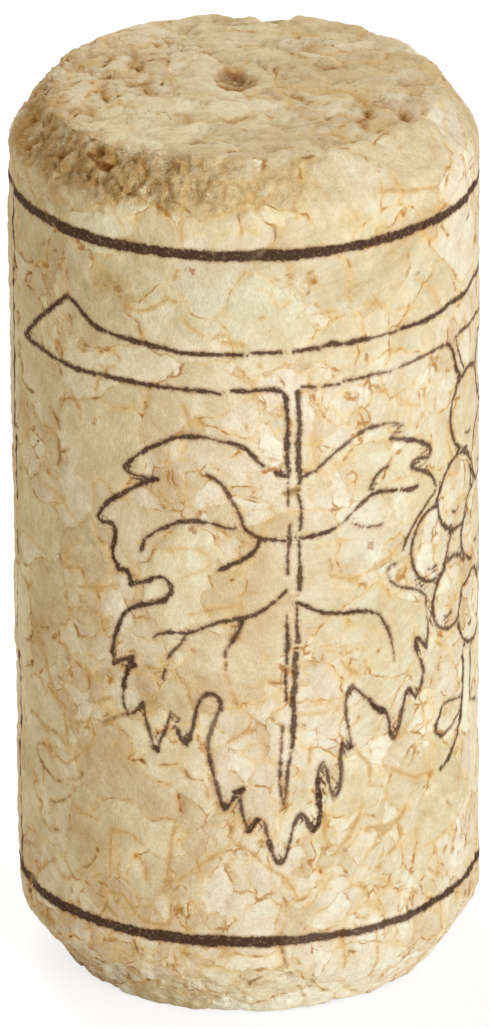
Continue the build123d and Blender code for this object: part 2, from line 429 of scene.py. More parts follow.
top_cracks = {
    FAINT: [
        (0.16, [(1.4, -0.2), (2.1, -1.8), (2.3, -2.6), (2.8, -3.4)]),
        (0.15, [(-8.25, 2.9), (-8.15, 2.2), (-8, 1.8)]),
        (0.15, [(-3.8, 8.2), (-3.8, 7.6), (-3.2, 7.4)]),
        (0.14, [(-6.2, 3.2), (-6.2, 2.7)]),
    ],
    GOLDEN: [
        (0.16, [(-3.95, -0.5), (-3.45, -0.65)]),
        (0.17, [(4.6, -0.6), (5.3, -1.2), (5.7, -2), (5.7, -2.7)]),
        (0.15, [(0.2, 3.2), (0.3, 3.5)]),
        (0.15, [(1, 6), (1, 5.5)]),
        (0.15, [(6.2, 5.2), (6.6, 4.8)]),
        (0.15, [(6.9, 4.2), (6.8, 3.2)]),
        (0.2, [(-5.9, -7), (-5.8, -6.9)]),
        (0.2, [(5.85, 2.7), (5.95, 2.7)]),
        (0.18, [(0.65, 8.7), (0.8, 8.7)]),
        (0.2, [(1.85, 0.8), (2.0, 0.75)]),
        (0.16, [(-6.5, 1.95), (-6.5, 1.8)]),
        (0.17, [(-2.95, 3.6), (-2.8, 3.65)]),
        (0.17, [(-1.75, 4.9), (-1.6, 4.85)]),
        (0.14, [(4.0, -6.4), (4.3, -6.3), (4.6, -6.7), (4.6, -7.2)]),
        (0.18, [(5.3, -6.4), (5.4, -6.5)]),
        (0.18, [(-8.5, -3.3), (-8.3, -3.4)]),
        (0.2, [(3.1, -4.2), (3.3, -4.3)]),
        (0.16, [(-3.2, -3.4), (-2.6, -4.0), (-2.5, -4.7)]),
        (0.16, [(-7.4, -1.9), (-7.0, -2.6), (-7.1, -3.3)]),
    ],
    BROWN: [
        (0.2, [(-1.2, 0.9), (-0.7, 1.2), (-0.45, 1.7)]),
        (0.34, [(-5.2, 3.7), (-5.05, 4.0)]),
        (0.24, [(-5, 3.3), (-4.85, 3.1)]),
        (0.22, [(-5.1, 4.3), (-5.05, 4.4)]),
        (0.24, [(-4.6, 0.6), (-4.45, 0.1)]),
        (0.17, [(-4.45, 0.1), (-4.2, -0.3), (-4.45, -0.8)]),
        (0.16, [(-6.5, 0.1), (-6.55, -0.6), (-6.4, -1), (-6.35, -1.6)]),
        (0.16, [(-6.55, 0.15), (-6.1, 0.1)]),
        (0.2, [(5.5, -4.8), (5.7, -5.8)]),
        (0.3, [(7.35, 0), (7.65, 0)]),
        (0.18, [(1.35, 1.9), (1.5, 1.9)]),
        (0.2, [(-0.6, -8.5), (-0.3, -8.5)]),
    ],
    DARK: [
        (0.3, [(-0.95, 0.3), (-0.7, 0.05), (-0.35, -0.05)]),
        (0.26, [(0.15, -0.05), (0.45, 0.05)]),
        (0.2, [(0.95, 2.55), (0.93, 3.2)]),
        (0.2, [(5.8, -3.2), (5.9, -3.7)]),
        (0.36, [(7.5, -3.3), (7.7, -4.0)]),
    ],
}
# Places on a chamfer are a bearing in degrees and a slope length in from the rim, or down from the shoulder
top_rim = cork_radius - top_chamfer[0]
base_shoulder = cork_radius - base_chamfer[0] + math.hypot(*base_chamfer)
top_chamfer_cracks = {
    FAINT: [
        (0.2, [(-53, 3.2), (-51, 3.7)]),
        (0.2, [(-40.7, 3.1), (-39, 3.4)]),
        (0.14, [(-15.1, 0.8), (-15.1, 2.6), (-15.0, 4.5)]),
        (0.16, [(-35, 2.6), (-30, 4)]),
        (0.16, [(61.3, 0.8), (61.3, 1.2)]),
    ],
    GOLDEN: [
        (0.2, [(-37.5, 0.6), (-36.5, 0.6)]),
        (0.2, [(-49.3, 3.4), (-48.6, 3.4)]),
        (0.2, [(-46.2, 3.75), (-45.6, 3.75)]),
        (0.17, [(-12, 0.3), (-10.5, 0.9)]),
        (0.18, [(-4.7, 1.2), (-4.7, 1.9)]),
        (0.16, [(7, 1.8), (3, 2.5)]),
        (0.15, [(35.6, 2.5), (40, 2.6), (45.2, 2.9), (53.9, 3.25)]),
        (0.2, [(46.6, 0.8), (47.4, 0.8)]),
        (0.17, [(31, -0.45), (34, -0.4), (38, -0.45)]),
        (0.16, [(-0.6, 3.2), (-0.4, 3.7)]),
    ],
    BROWN: [
        (0.17, [(-34, 1.8), (-31, 2.2), (-27, 2.2), (-25, 2.45)]),
        (0.24, [(-17.7, 0.2), (-17.7, 0.8)]),
        (0.32, [(-1.2, 2.7), (-1.0, 3.1)]),
        (0.34, [(16.8, 0.17), (19.8, 0.17)]),
        (0.24, [(-54.5, 1.9), (-54, 2.2)]),
        (0.2, [(-70, 1.2), (-67, 1.5), (-65, 1.4)]),
        (0.2, [(-62, 2.3), (-59, 2.5)]),
        (0.18, [(-24, 1.2), (-22, 1.5)]),
        (0.2, [(-29, 0.7), (-27.5, 0.9)]),
    ],
    DARK: [
        (0.5, [(-46.8, 0.9), (-45.4, 0.95)]),
        (0.4, [(-43.5, 1.15), (-40, 1.2), (-37.5, 1.1)]),
        (0.4, [(-57.5, 1.6), (-54, 1.7)]),
    ],
}
base_chamfer_cracks = {
    FAINT: [
        (0.16, [(7, -3), (8, -1)]),
        (0.16, [(12, -1.5), (12, -1.3)]),
        (0.16, [(24, 1), (26, 1.4)]),
        (0.18, [(-49.6, -2.67), (-53.9, -0.83)]),
    ],
    GOLDEN: [
        (0.26, [(9, -0.6), (5.5, -0.2)]),
        (0.15, [(-2, 1.5), (-1.5, 2.2)]),
        (0.24, [(24, -0.9), (24, 0)]),
        (0.18, [(15.8, 0.85), (16.3, 0.85)]),
        (0.14, [(13, 1.3), (16, 2.4)]),
        (0.16, [(-14.2, 2), (-13.8, 2)]),
        (0.16, [(-18.7, 2.1), (-18.2, 2.1)]),
        (0.16, [(33, -1.6), (34, 1.5)]),
        (0.16, [(40, -2.4), (40, -2.2)]),
        (0.16, [(33, 2.9), (33, 3.1)]),
        (0.16, [(-30, 0.6), (-30, 1.5)]),
        (0.16, [(-33.3, 2), (-32.7, 2)]),
    ],
    BROWN: [
        (0.17, [(2.8, 0.2), (0.5, 0.7), (0, 1.1)]),
        (0.2, [(-37, -3), (-41, -1.7)]),
        (0.18, [(-29.6, -1.3), (-28, -0.5)]),
        (0.2, [(-44, 0.6), (-42, 1.0)]),
        (0.2, [(-55, 0.8), (-52, 1.2)]),
    ],
    DARK: [
        (0.26, [(23.6, -1.65), (23.6, -1.5)]),
        (0.2, [(-49, -0.5), (-51, -0.2)]),
    ],
}


def strokes_of(cracks, rim=None, side=1):
    """The strokes of each shade of crack, with a chamfer's bearings and slopes turned into places across its end."""
    made = []
    for strength, lines in cracks.items():
        for width, points in lines:
            if rim is not None:
                turned = [(math.radians(bearing), rim + side * slope) for bearing, slope in points]
                points = [(reach * math.sin(bearing), -reach * math.cos(bearing)) for bearing, reach in turned]
            made.append(stroke(width, points, strength, crack_taper))
    return made


def across_end(reach):
    """The skin laid flat round an end's middle, at its path length from there."""
    return np.stack([reach * np.sin(bearings), -reach * np.cos(bearings)], axis=1)


wall_places = np.stack([bearings * cork_radius, skin[:, 2]], axis=1)
top_reach, base_reach = section_length - path, path
# The wall's places reach a little over both chamfers, and those of each end a little down the wall
maps = [
    ((base_reach > 11.4) & (top_reach > 10.6), wall_places, strokes_of(wall_cracks)),
    (top_reach < 14.8, across_end(top_reach), strokes_of(top_cracks) + strokes_of(top_chamfer_cracks, top_rim)),
    (base_reach < 16.4, across_end(base_reach), strokes_of(base_chamfer_cracks, base_shoulder, -1)),
]
crack_offset = np.zeros((len(skin), 3))
crack_edge, crack_shade = np.full(len(skin), line_reach), np.zeros(len(skin))
for held, places, strokes in maps:
    held = np.flatnonzero(held)
    offset, edge, strength = line_fields(places[held], strokes)
    nearer = edge < crack_edge[held]
    crack_offset[held[nearer]] = offset[nearer]
    crack_edge[held[nearer]] = edge[nearer]
    crack_shade[held[nearer]] = strength[nearer]
keep("crack_offset", crack_offset)
keep("crack_edge", crack_edge)
keep("crack_shade", crack_shade)
# A crack is sunk by its own width, and on the upper end the skin sinks towards it too
crack_bank, crack_depth = 0.1, 0.36
hollow_reach, hollow_depth, hollow_rim = 0.5, 0.5, 9.4
inside = np.clip(-crack_edge / crack_bank, 0, 1) * np.clip(crack_shade - 0.3, 0, 1)
pocket = np.maximum(pocket, inside * np.clip(crack_offset[:, 2] * 1.8, 0, crack_depth))
hollow = np.clip(1 - np.maximum(crack_edge, 0) / hollow_reach, 0, 1) ** 2 * np.clip(crack_shade - 0.2, 0, 1)
pocket = np.maximum(pocket, hollow * hollow_depth * np.clip((hollow_rim - top_reach) / 0.4, 0, 1))
keep("pocket", pocket)

tones = {
    "golden": (0.90, 0.78, 0.55),
    # Tan granules, and in two broad patches on the wall's left, painted shade
    "tan": (0.84, 0.75, 0.62),
    "brown": (0.70, 0.56, 0.42),
    "grey": (0.78, 0.76, 0.72),
    "pink": (0.93, 0.84, 0.78),
    "olive": (0.78, 0.72, 0.55),
    # Pale granules in most small patches on the wall, and painted light on the chamfers, in a broad band low on the
    # wall and as a highlight on one raised ledge
    "pale_and_painted_light": (1.06, 1.08, 1.14),
    # Painted light, for faces that the lamp and the floor's bounce light
    "painted_light": (1.07, 1.12, 1.2),
    "crust": (0.75, 0.59, 0.39),
    "straw": (1.03, 0.975, 0.79),
    "shaded": (0.89, 0.93, 0.91),
    # Painted light on the wall's lit right side
    "painted_light_right": (0.98, 1.045, 1.08),
    # Painted light, the strongest, on the base chamfer's front right
    "painted_light_strong": (1.09, 1.14, 1.17),
}
# Each patch is its strength, its middle, its width and height, and its turn in degrees where it has one
wall_patches = {
    "golden": [
        (0.6, -7, 37.6, 2.6, 1.6), (0.5, -5.2, 36.9, 2, 1), (0.7, -0.6, 35, 1.2, 1),
        (0.5, 11.2, 39.3, 0.8, 1.4), (0.5, 12.3, 26.1, 1.6, 1.2), (0.35, -3.1, 23.6, 1.2, 1.4),
        (0.7, -13.3, 18, 2.4, 1.2), (0.6, -7.3, 20, 0.9, 1.2), (0.35, -0.6, 16.8, 0.9, 0.6),
        (0.6, 5.6, 12.6, 1.2, 1.2), (0.5, 3.8, 10.6, 1.2, 1.2), (0.5, 5.2, 11.3, 0.6, 1.5, -20),
        (0.6, 7.8, 10, 1.2, 0.6), (0.6, 8.6, 5.6, 0.8, 0.8), (0.5, 10.6, 6.2, 1.2, 0.9),
        (0.35, -11, 11.8, 0.7, 2.8), (0.3, -9.4, 6.3, 1.6, 0.8), (0.4, 6.4, 36.5, 1, 0.9),
        (0.6, 5.5, 33.1, 2.2, 0.6), (0.5, 8.9, 19.1, 0.8, 1.0), (0.4, 1.9, 40.8, 0.5, 0.5),
        (0.4, 5.0, 41.0, 1.1, 0.6), (0.4, 2.0, 38.8, 0.5, 0.6), (0.35, 3.0, 33.8, 0.9, 0.7),
        (0.3, 10.7, 32, 0.6, 0.8), (0.4, -8.0, 28.8, 1.4, 0.7, 20), (0.3, -11.8, 33.5, 2.0, 1.0, 15),
    ],
    "tan": [
        # The two broad patches on this row are painted shade on the wall's left side
        (0.46, -5.8, 12.0, 7.5, 20.0), (0.46, -5.5, 30.0, 7.5, 16.0),
        (0.35, -11.5, 35.5, 3.4, 1.4, 30), (0.5, -10.1, 39.2, 0.8, 0.8), (0.5, 10.1, 36, 0.9, 2.6, 30),
        (0.35, 6.2, 36.5, 1, 1), (0.4, 9.4, 29.5, 1, 1.8), (0.35, 6.3, 16.6, 1.8, 0.8, -40),
        (0.35, 2.8, 6.5, 1.2, 1.6), (0.4, 2.2, 4.2, 1.4, 2.4), (0.4, 11.8, 14.1, 2.2, 0.9),
        (0.4, -8.7, 13, 0.8, 0.6), (0.3, 0.7, 24.5, 0.8, 2), (0.35, -13.5, 33.0, 2.0, 2.4),
        (0.35, -14.5, 25.0, 2.0, 3.0), (0.35, -14.0, 11.0, 2.0, 3.0), (0.3, 0.9, 6.0, 1.6, 1.2),
    ],
    "brown": [
        (0.6, -2.3, 31.2, 0.9, 1.2), (0.55, -3.9, 29, 0.9, 2.8, 25), (0.55, 5, 23.4, 2.6, 1.1, -20),
        (0.5, -5.6, 18.4, 1.6, 0.7), (0.6, -5, 16.9, 1.3, 1.6), (0.5, -3.1, 16, 1, 1.2),
        (0.5, 3.7, 12.9, 1.8, 1.3), (0.5, -1.7, 12.5, 0.5, 1.2), (0.6, -11.9, 3.6, 1.2, 0.8),
        (0.35, -8, 4.5, 1.6, 0.8), (0.3, 2.3, 27.8, 1.2, 0.6), (0.35, -12.9, 5.6, 1.0, 1.2),
    ],
    "grey": [
        (0.4, -10.9, 41, 0.5, 1), (0.35, -9.7, 40.7, 0.9, 0.5), (0.35, -8.1, 41.3, 0.7, 0.8),
        (0.4, -6.15, 36.45, 0.5, 0.8, 25), (0.35, -7.7, 34.5, 0.6, 0.6), (0.4, -8.15, 24.6, 0.5, 0.9, 25),
        (0.4, 9.5, 28, 0.8, 0.7), (0.5, -12.2, 8, 1, 1.2), (0.4, -6.6, 5.6, 0.9, 1),
        (0.35, 8.5, 14.4, 0.6, 0.6), (0.3, 9.6, 36.4, 0.8, 1.2, 35), (0.35, 5.2, 25.6, 0.7, 0.4),
        (0.3, 8.2, 34.0, 1.2, 0.7), (0.3, 12.0, 28.2, 1.0, 0.5),
    ],
    "pink": [
        (0.3, -8.8, 20, 2.4, 2), (0.3, -2.1, 17.8, 1.2, 0.9), (0.5, -13, 5.8, 0.8, 2),
        (0.4, -10.8, 25.7, 3.4, 0.7, -14), (0.3, -6.9, 27.5, 1.6, 2.0, 30), (0.3, 4.0, 23.9, 2.0, 1.0, -15),
    ],
    "olive": [(0.25, -8.6, 9, 1.6, 2.4), (0.3, -10.4, 29.9, 1.4, 0.8, -30)],
    # The three broad patches below are painted light over the wall's right side and its low front, and painted shade
    # along its top
    "painted_light_right": [(0.9, 8.0, 12.0, 11.0, 20.0), (0.9, 8.0, 27.0, 11.0, 16.0)],
    "painted_light": [(0.4, 0.0, 7.2, 22.0, 5.0)],
    "shaded": [(0.9, -1.0, 37.8, 24.0, 4.6)],
    "pale_and_painted_light": [
        (0.6, 3.8, 27.2, 2.2, 2.4), (0.5, 6, 25.9, 1.4, 1), (0.5, 0.6, 26.8, 1.3, 1.3),
        # On this row, the strongest patch, just under the golden line at the leaf's left, is a painted highlight on a
        # raised ledge
        (0.7, 3.8, 17.8, 2.8, 2.2), (1.0, -7.3, 21.5, 2.6, 0.8, 15), (0.5, -3.6, 20.4, 2.6, 1),
        (0.4, -11, 17.5, 1, 4), (0.6, -9.2, 14, 0.8, 0.8), (0.4, -5.6, 14.3, 1, 1.6),
        (0.5, -1.6, 16.7, 0.9, 1.5), (0.5, 8.7, 13.2, 1.6, 1.6), (0.4, 7, 14.3, 1.2, 1.6),
        # On this row, the broad band low on the wall is painted light
        (0.5, 8.5, 25.3, 1.5, 2, 40), (0.4, -2.3, 28, 2.6, 1.4), (0.5, 0.5, 3.6, 20.0, 3.4), (0.6, -4.4, 38.6, 1, 1.4),
        (0.4, 3.3, 38.8, 1.4, 1.4), (0.4, -4.6, 34, 2, 1.4), (0.4, -9, 35.7, 1.6, 0.8),
        (0.35, 1, 30.2, 1.2, 2.6), (0.35, -9, 27.8, 2.6, 1.6, -40), (0.4, -10, 25, 3, 1, -15),
        (0.35, 9, 22.8, 1, 2.2), (0.4, 11.5, 21, 1.6, 2), (0.4, -12.5, 9.5, 2.4, 1.8),
        (0.4, 0, 4, 1.8, 1.6), (0.4, -8, 3.4, 2, 1), (0.4, -3.2, 12, 1.8, 1.6), (0.2, 0.3, 13.5, 2.6, 3),
        (0.4, -7.0, 15.65, 1.3, 0.4, 18), (0.3, 10.3, 13.8, 1.4, 0.8), (0.3, 2.4, 12.4, 0.9, 2.4),
    ],
}
top_patches = {
    "golden": [
        (0.6, 2.2, -1.2, 1.2, 1), (0.3, 2.7, 2.9, 1, 0.9), (0.5, 5.2, -1.3, 1.2, 0.8, -35),
        (0.5, 5.7, -3.5, 0.6, 1.6), (0.4, 4.5, -1.2, 0.6, 0.6), (0.5, 7.8, -3.8, 0.6, 0.8),
        (0.5, 0, -5.8, 0.9, 0.8), (0.4, -0.8, -6.2, 0.5, 0.5), (0.5, -8.8, 0.9, 0.8, 1.3),
        (0.4, 4.6, -6.8, 1, 1), (0.4, 5.8, -2.1, 0.7, 1), (0.25, -1.8, -3.6, 0.6, 1.6),
        (0.3, 1.2, 5.8, 0.8, 1), (0.5, 1.9, -3.9, 0.5, 0.4), (0.5, 7.5, -0.1, 0.8, 0.6),
    ],
    "tan": [(0.5, -5, 1.2, 1.2, 1.6), (0.3, -7.6, -3.2, 1.8, 2.2), (0.4, 4.7, 5.6, 0.9, 0.9)],
    "brown": [
        # The two patches at -0.5 across, first on this row and last on the row after next, are partly the middle pit's
        # own brown and partly painted shade in it
        (0.5, -0.5, 2.1, 1, 1.6), (0.5, 5.5, -5.2, 0.8, 1.4), (0.4, 7.7, -2.6, 1.4, 1),
        (0.55, -2.1, -6.8, 0.8, 0.8), (0.4, 3.8, -7.6, 1.4, 0.8), (0.4, -5.1, 3.7, 0.7, 1.3, -15),
        (0.3, -4.4, 0.0, 0.8, 1.4), (0.35, -0.5, 0.4, 1.6, 0.9),
    ],
    "grey": [(0.35, 3.4, -5.6, 1.4, 1.6)],
    "pink": [(0.35, 7.4, 3, 1.6, 0.9)],
    "olive": [(0.6, 4, 2.7, 1.2, 1.7), (0.5, -0.6, 8.6, 1.3, 1.7)],
}
top_chamfer_patches = {
    "crust": [
        (0.75, -80, 1.3, 3.6, 3.8), (0.8, -64, 1.3, 3.6, 3.6), (0.75, -48, 1.3, 3.6, 3.4),
        (0.7, -34, 1.4, 3.2, 3.0), (0.3, -21, 1.5, 2.0, 2.0), (0.5, -56, 2.0, 2.0, 1.4),
    ],
    "straw": [(1.0, -9, 1.7, 5.0, 3.8), (0.7, 10, 1.7, 4.0, 3.4), (0.6, -28, 2.6, 4.0, 2.0)],
    "golden": [(0.5, 25.5, 3.5, 1.6, 1.0), (0.4, -17, 0.6, 1.4, 1.2), (0.35, 0, 3.0, 1.2, 1.2),
               (0.4, 18, 0.3, 1.4, 0.8)],
    "pink": [(0.5, -45, 2.4, 2.0, 0.9)],
    "brown": [(0.3, -10, 1.0, 1.4, 1.0)],
    # The next two rows are painted light on the chamfer's front and right, which face the lamp
    "pale_and_painted_light": [(0.3, 40, 1.4, 3.4, 2.0), (0.3, 12, 1.5, 2.4, 1.8)],
    "painted_light": [(0.5, 25, 1.5, 4.0, 3.6), (0.6, 48, 1.5, 5.0, 3.6), (0.8, 72, 1.5, 5.0, 3.6)],
}
base_chamfer_patches = {
    "brown": [
        (0.45, -52, -1.7, 1.6, 2.0), (0.5, -39, -2.2, 1.6, 1.8), (0.4, -48, 0.6, 3.4, 1.6),
        (0.35, -60, 1.2, 3.0, 2.4),
    ],
    "golden": [(0.4, 7.5, -0.5, 1.2, 0.8), (0.4, 24, -0.6, 0.9, 1.4), (0.3, 33.5, 0, 0.8, 2.4)],
    # The next three rows are painted light on the chamfer's front and right, and painted shade on its left
    "pale_and_painted_light": [(0.4, 30, 1.6, 6.0, 2.4), (0.3, 5, 2.0, 4.0, 1.6), (0.3, 50, 1.4, 4.0, 2.4)],
    "painted_light_strong": [(0.7, -3, 1.8, 9.0, 4.4)],
    "shaded": [(0.9, -66, 1.2, 4.4, 4.0)],
}


def lay_patches(tint_with_painted_light_and_shade, held, places, patches, rim=None, side=1):
    """Multiplies the tint by each patch's tone, with a crumbled edge."""
    held = np.flatnonzero(held)
    for tone, laid in patches.items():
        for strength, x, y, width, height, *turn in laid:
            angle = math.radians(sum(turn))
            if rim is not None:
                angle, reach = math.radians(x), rim + side * y
                x, y = reach * math.sin(angle), -reach * math.cos(angle)
            away = places[held] - (x, y)
            u = (away[:, 0] * math.cos(angle) + away[:, 1] * math.sin(angle)) / (width / 2)
            v = (away[:, 1] * math.cos(angle) - away[:, 0] * math.sin(angle)) / (height / 2)
            fall = np.clip((1.35 + raggedness[held] - np.hypot(u, v)) / 0.75, 0, 1)
            share = strength * fall * fall * (3 - 2 * fall)
            tint_with_painted_light_and_shade[held] *= 1 + share[:, None] * (np.array(tones[tone]) - 1)


raggedness = np.array(
    [crumble_noise.noise(Vector(p) * 1.1) * 0.9 + crumble_noise.noise(Vector(p) * 3.3) * 0.5 for p in skin]
)
tint_with_painted_light_and_shade = np.ones((len(skin), 3))
lay_patches(tint_with_painted_light_and_shade, maps[0][0], wall_places, wall_patches)
lay_patches(tint_with_painted_light_and_shade, maps[1][0], maps[1][1], top_patches)
lay_patches(tint_with_painted_light_and_shade, maps[1][0], maps[1][1], top_chamfer_patches, top_rim)
lay_patches(tint_with_painted_light_and_shade, maps[2][0], maps[2][1], base_chamfer_patches, base_shoulder, -1)
base_edge = base_reach - (cork_radius - base_chamfer[0])
on_base_chamfer = np.clip(base_edge / 0.5, 0, 1) * np.clip((4.0 - base_edge) / 1.2, 0, 1)
# The base chamfer is lightened all round, and most at its front right: painted light, as from the floor below and the
# lamp
tint_with_painted_light_and_shade *= 1 + on_base_chamfer[:, None] * (np.array(tones["painted_light"]) - 1)
painted_light_front_right = on_base_chamfer * np.clip((np.degrees(bearings) + 50) / 30, 0, 1)
tint_with_painted_light_and_shade *= 1 + painted_light_front_right[:, None] * (np.array(tones["painted_light_strong"]) - 1)
keep("tint_with_painted_light_and_shade", tint_with_painted_light_and_shade)
# Where cracks are listed, the granules' own gaps are fewer
marked = np.clip((15.5 - np.abs(wall_places[:, 0] - 2.5)) / 3, 0, 1) * np.clip((base_reach - 11) / 2, 0, 1)
marked_top = np.clip((13 - top_reach) / 1.5, 0, 1) * np.clip((15.5 - np.abs(wall_places[:, 0])) / 6, 0, 1)
keep("marked", np.maximum(marked, marked_top))

# Granules
# The block is cork bark, milled to granules of two to six millimetres and pressed with a little glue. The same nodes
# draw the granules in the mesh and in the material, so that the relief and the colours agree.

granule_size, chip_size = 3.8, 1.5
chipped_above = 0.74
# How the granules' outlines wander: in broad sweeps, in bends and in small jags, each as its noise and its reach
granule_bends = [(0.2, 5.0), (0.9, 1.2), (3.2, 0.16)]
middle = (0.5, 0.5, 0.5)


def add_node(tree, kind, inputs=(), **settings):
    """A new node with its settings made and each named or numbered input fed from a socket or a plain value."""
    node = tree.nodes.new(kind)
    for key, value in settings.items():
        setattr(node, key, value)
    for key, value in dict(inputs).items():
        if isinstance(value, bpy.types.NodeSocket):
            tree.links.new(value, node.inputs[key])
        else:
            node.inputs[key].default_value = value
    return node


def maths(tree, operation, *values, clamp=False):
    node = add_node(tree, "ShaderNodeMath", enumerate(values), operation=operation, use_clamp=clamp)
    return node.outputs[0]


def product(tree, first, *others):
    for other in others:
        first = maths(tree, "MULTIPLY", first, other)
    return first


def total(tree, first, *others):
    for other in others:
        first = maths(tree, "ADD", first, other)
    return first


def vectors(tree, operation, *values, output=0):
    return add_node(tree, "ShaderNodeVectorMath", enumerate(values), operation=operation).outputs[output]


def scaled(tree, vector, factor):
    return add_node(tree, "ShaderNodeVectorMath", {0: vector, 3: factor}, operation="SCALE").outputs[0]


def ramp(tree, value, start, end, low=0.0, high=1.0):
    """A soft step from low to high while the value goes from start to end."""
    inputs = {0: value, 1: start, 2: end, 3: low, 4: high}
    return add_node(tree, "ShaderNodeMapRange", inputs, interpolation_type="SMOOTHSTEP").outputs[0]


def noise(tree, point, scale, detail=2.0, roughness=0.5):
    inputs = {"Vector": point, "Scale": scale, "Detail": detail, "Roughness": roughness}
    return add_node(tree, "ShaderNodeTexNoise", inputs)


def mixed(tree, factor, first, second, blend="MIX"):
    node = add_node(tree, "ShaderNodeMix", {0: factor, 6: first, 7: second}, data_type="RGBA", blend_type=blend)
    return node.outputs[2]


def clouded(tree, point, noise_kind, start, end, low=0.0, high=1.0):
    """Soft patches that go from low to high, from a noise given as its scale, detail and roughness."""
    return ramp(tree, noise(tree, point, *noise_kind).outputs[0], start, end, low, high)


def drift(tree, point, reach, *noise_kind):
    """A random shift that changes over the block."""
    return scaled(tree, vectors(tree, "SUBTRACT", noise(tree, point, *noise_kind).outputs[1], middle), reach)


def cells(tree, point, size):
    """Granules of a size: a random colour for each, and how far a point lies from its granule's edge, in mm."""
    shrunk = scaled(tree, point, 1 / size)
    own = add_node(tree, "ShaderNodeTexVoronoi", {"Vector": shrunk, "Scale": 1.0}, feature="F1")
    edge = add_node(tree, "ShaderNodeTexVoronoi", {"Vector": shrunk, "Scale": 1.0}, feature="DISTANCE_TO_EDGE")
    return own.outputs["Color"], maths(tree, "MULTIPLY", edge.outputs["Distance"], size)


def draw_granules(tree, point, marked):
    """Adds the granules to a mesh or material tree, and gives their masks by name."""
    sweep, bend, jag = (drift(tree, point, reach, scale, 1.0) for scale, reach in granule_bends)
    bent = vectors(tree, "ADD", point, vectors(tree, "ADD", sweep, bend))
    bent = vectors(tree, "ADD", bent, jag)
    colour, edge = cells(tree, bent, granule_size)
    chip_colour, chip_edge = cells(tree, vectors(tree, "ADD", bent, (31.0, 7.0, 13.0)), chip_size)
    kind = "ShaderNodeSeparateColor" if tree.type == "SHADER" else "FunctionNodeSeparateColor"
    parts = add_node(tree, kind, {0: colour}).outputs
    chipped = maths(tree, "GREATER_THAN", parts[0], chipped_above)
    chip_parts = add_node(tree, kind, {0: chip_colour}).outputs
    chip_edge = total(tree, chip_edge, product(tree, maths(tree, "SUBTRACT", 1.0, chipped), 9.0))
    nearest = maths(tree, "MINIMUM", edge, chip_edge)
    looseness = noise(tree, vectors(tree, "ADD", point, (5.0, 40.0, 9.0)), 1.1, 3.0, 0.65).outputs[0]
    looseness = total(tree, looseness, product(tree, marked, -0.11))
    gap_width = ramp(tree, looseness, 0.52, 0.74, 0.02, 0.2)
    gap = ramp(tree, maths(tree, "DIVIDE", nearest, gap_width), 0.45, 1.0, 1.0, 0.0)
    gap = product(tree, gap, ramp(tree, looseness, 0.57, 0.66))
    return {
        "colour": colour,
        "parts": parts,
        "chip_parts": chip_parts,
        "chipped": chipped,
        "nearest": nearest,
        "looseness": looseness,
        "gap": gap,
    }


def draw_crumbs(tree, point):
    """Adds the crumbs of a torn or coarsely ground face: how far a point lies down between the large and the small."""
    shaken = vectors(tree, "ADD", point, drift(tree, point, 2.0, 1.1, 3.0, 0.65))
    clods = ramp(tree, cells(tree, shaken, 1.0)[1], 0.0, 0.22, 1.0, 0.0)
    clods = product(tree, clods, clouded(tree, point, (1.3, 2.0), 0.36, 0.58, 0.15))
    shaken = vectors(tree, "ADD", shaken, (17.0, 3.0, 29.0))
    grains = ramp(tree, cells(tree, shaken, 0.5)[1], 0.0, 0.12, 1.0, 0.0)
    return clods, product(tree, grains, clouded(tree, point, (1.9, 2.0), 0.4, 0.62, 0.1))


relief = bpy.data.node_groups.new("granule_relief", "GeometryNodeTree")
relief.interface.new_socket("Geometry", in_out="INPUT", socket_type="NodeSocketGeometry")
relief.interface.new_socket("Geometry", in_out="OUTPUT", socket_type="NodeSocketGeometry")
relief_in = relief.nodes.new("NodeGroupInput")
relief_out = relief.nodes.new("NodeGroupOutput")


def stored(name, data_type="FLOAT"):
    node = add_node(relief, "GeometryNodeInputNamedAttribute", {"Name": name}, data_type=data_type)
    return node.outputs["Attribute"]


# How deep each kind of wear goes. Granules stand at two heights and are rounded at their joints, most on the cut
# ends, which are dented too.
granule_step, joint_rounding, cut_gain = 0.07, 0.035, 1.3
gap_depth, swell_depth, dent_depth, chip_depth = 0.2, 0.08, 0.18, 0.3
hump_depth, lump_depth, clod_depth, grain_depth, torn_crumb_depth = 0.24, 0.3, 0.13, 0.09, 0.26

relief_point = stored("skin_point", "FLOAT_VECTOR")
granules = draw_granules(relief, relief_point, stored("marked"))
cut = stored("cut")
lowered = ramp(relief, granules["parts"][1], 0.45, 0.95, 0.0, granule_step)
chip_lowered = ramp(relief, granules["chip_parts"][1], 0.5, 1.0, 0.0, granule_step)
rounding = product(relief, ramp(relief, granules["nearest"], 0.0, 0.36), -joint_rounding)
stepped = total(relief, lowered, product(relief, chip_lowered, granules["chipped"]), rounding, joint_rounding)
stepped = product(relief, stepped, maths(relief, "MULTIPLY_ADD", cut, cut_gain, 1.0))
swell = clouded(relief, relief_point, (0.3, 1.0), 0.5, 0.8, 0.0, swell_depth)
dented = clouded(relief, relief_point, (0.6, 2.0, 0.55), 0.46, 0.72, 0.0, dent_depth)
clods, grains = draw_crumbs(relief, relief_point)
crumbs = total(
    relief,
    clouded(relief, relief_point, (0.5, 2.0), 0.42, 0.75, 0.0, hump_depth),
    clouded(relief, relief_point, (1.6, 3.0, 0.65), 0.36, 0.68, 0.0, lump_depth),
    product(relief, clods, clod_depth),
    product(relief, grains, grain_depth),
)
chips = clouded(relief, relief_point, (0.6, 3.0, 0.6), 0.46, 0.74, 0.0, chip_depth)
pocket_depth = stored("pocket")
torn = product(relief, pocket_depth, clouded(relief, relief_point, (2.0, 3.0, 0.6), 0.36, 0.62, 0.45, 1.15))
torn_crumbs = product(relief, total(relief, clods, grains), torn_crumb_depth)
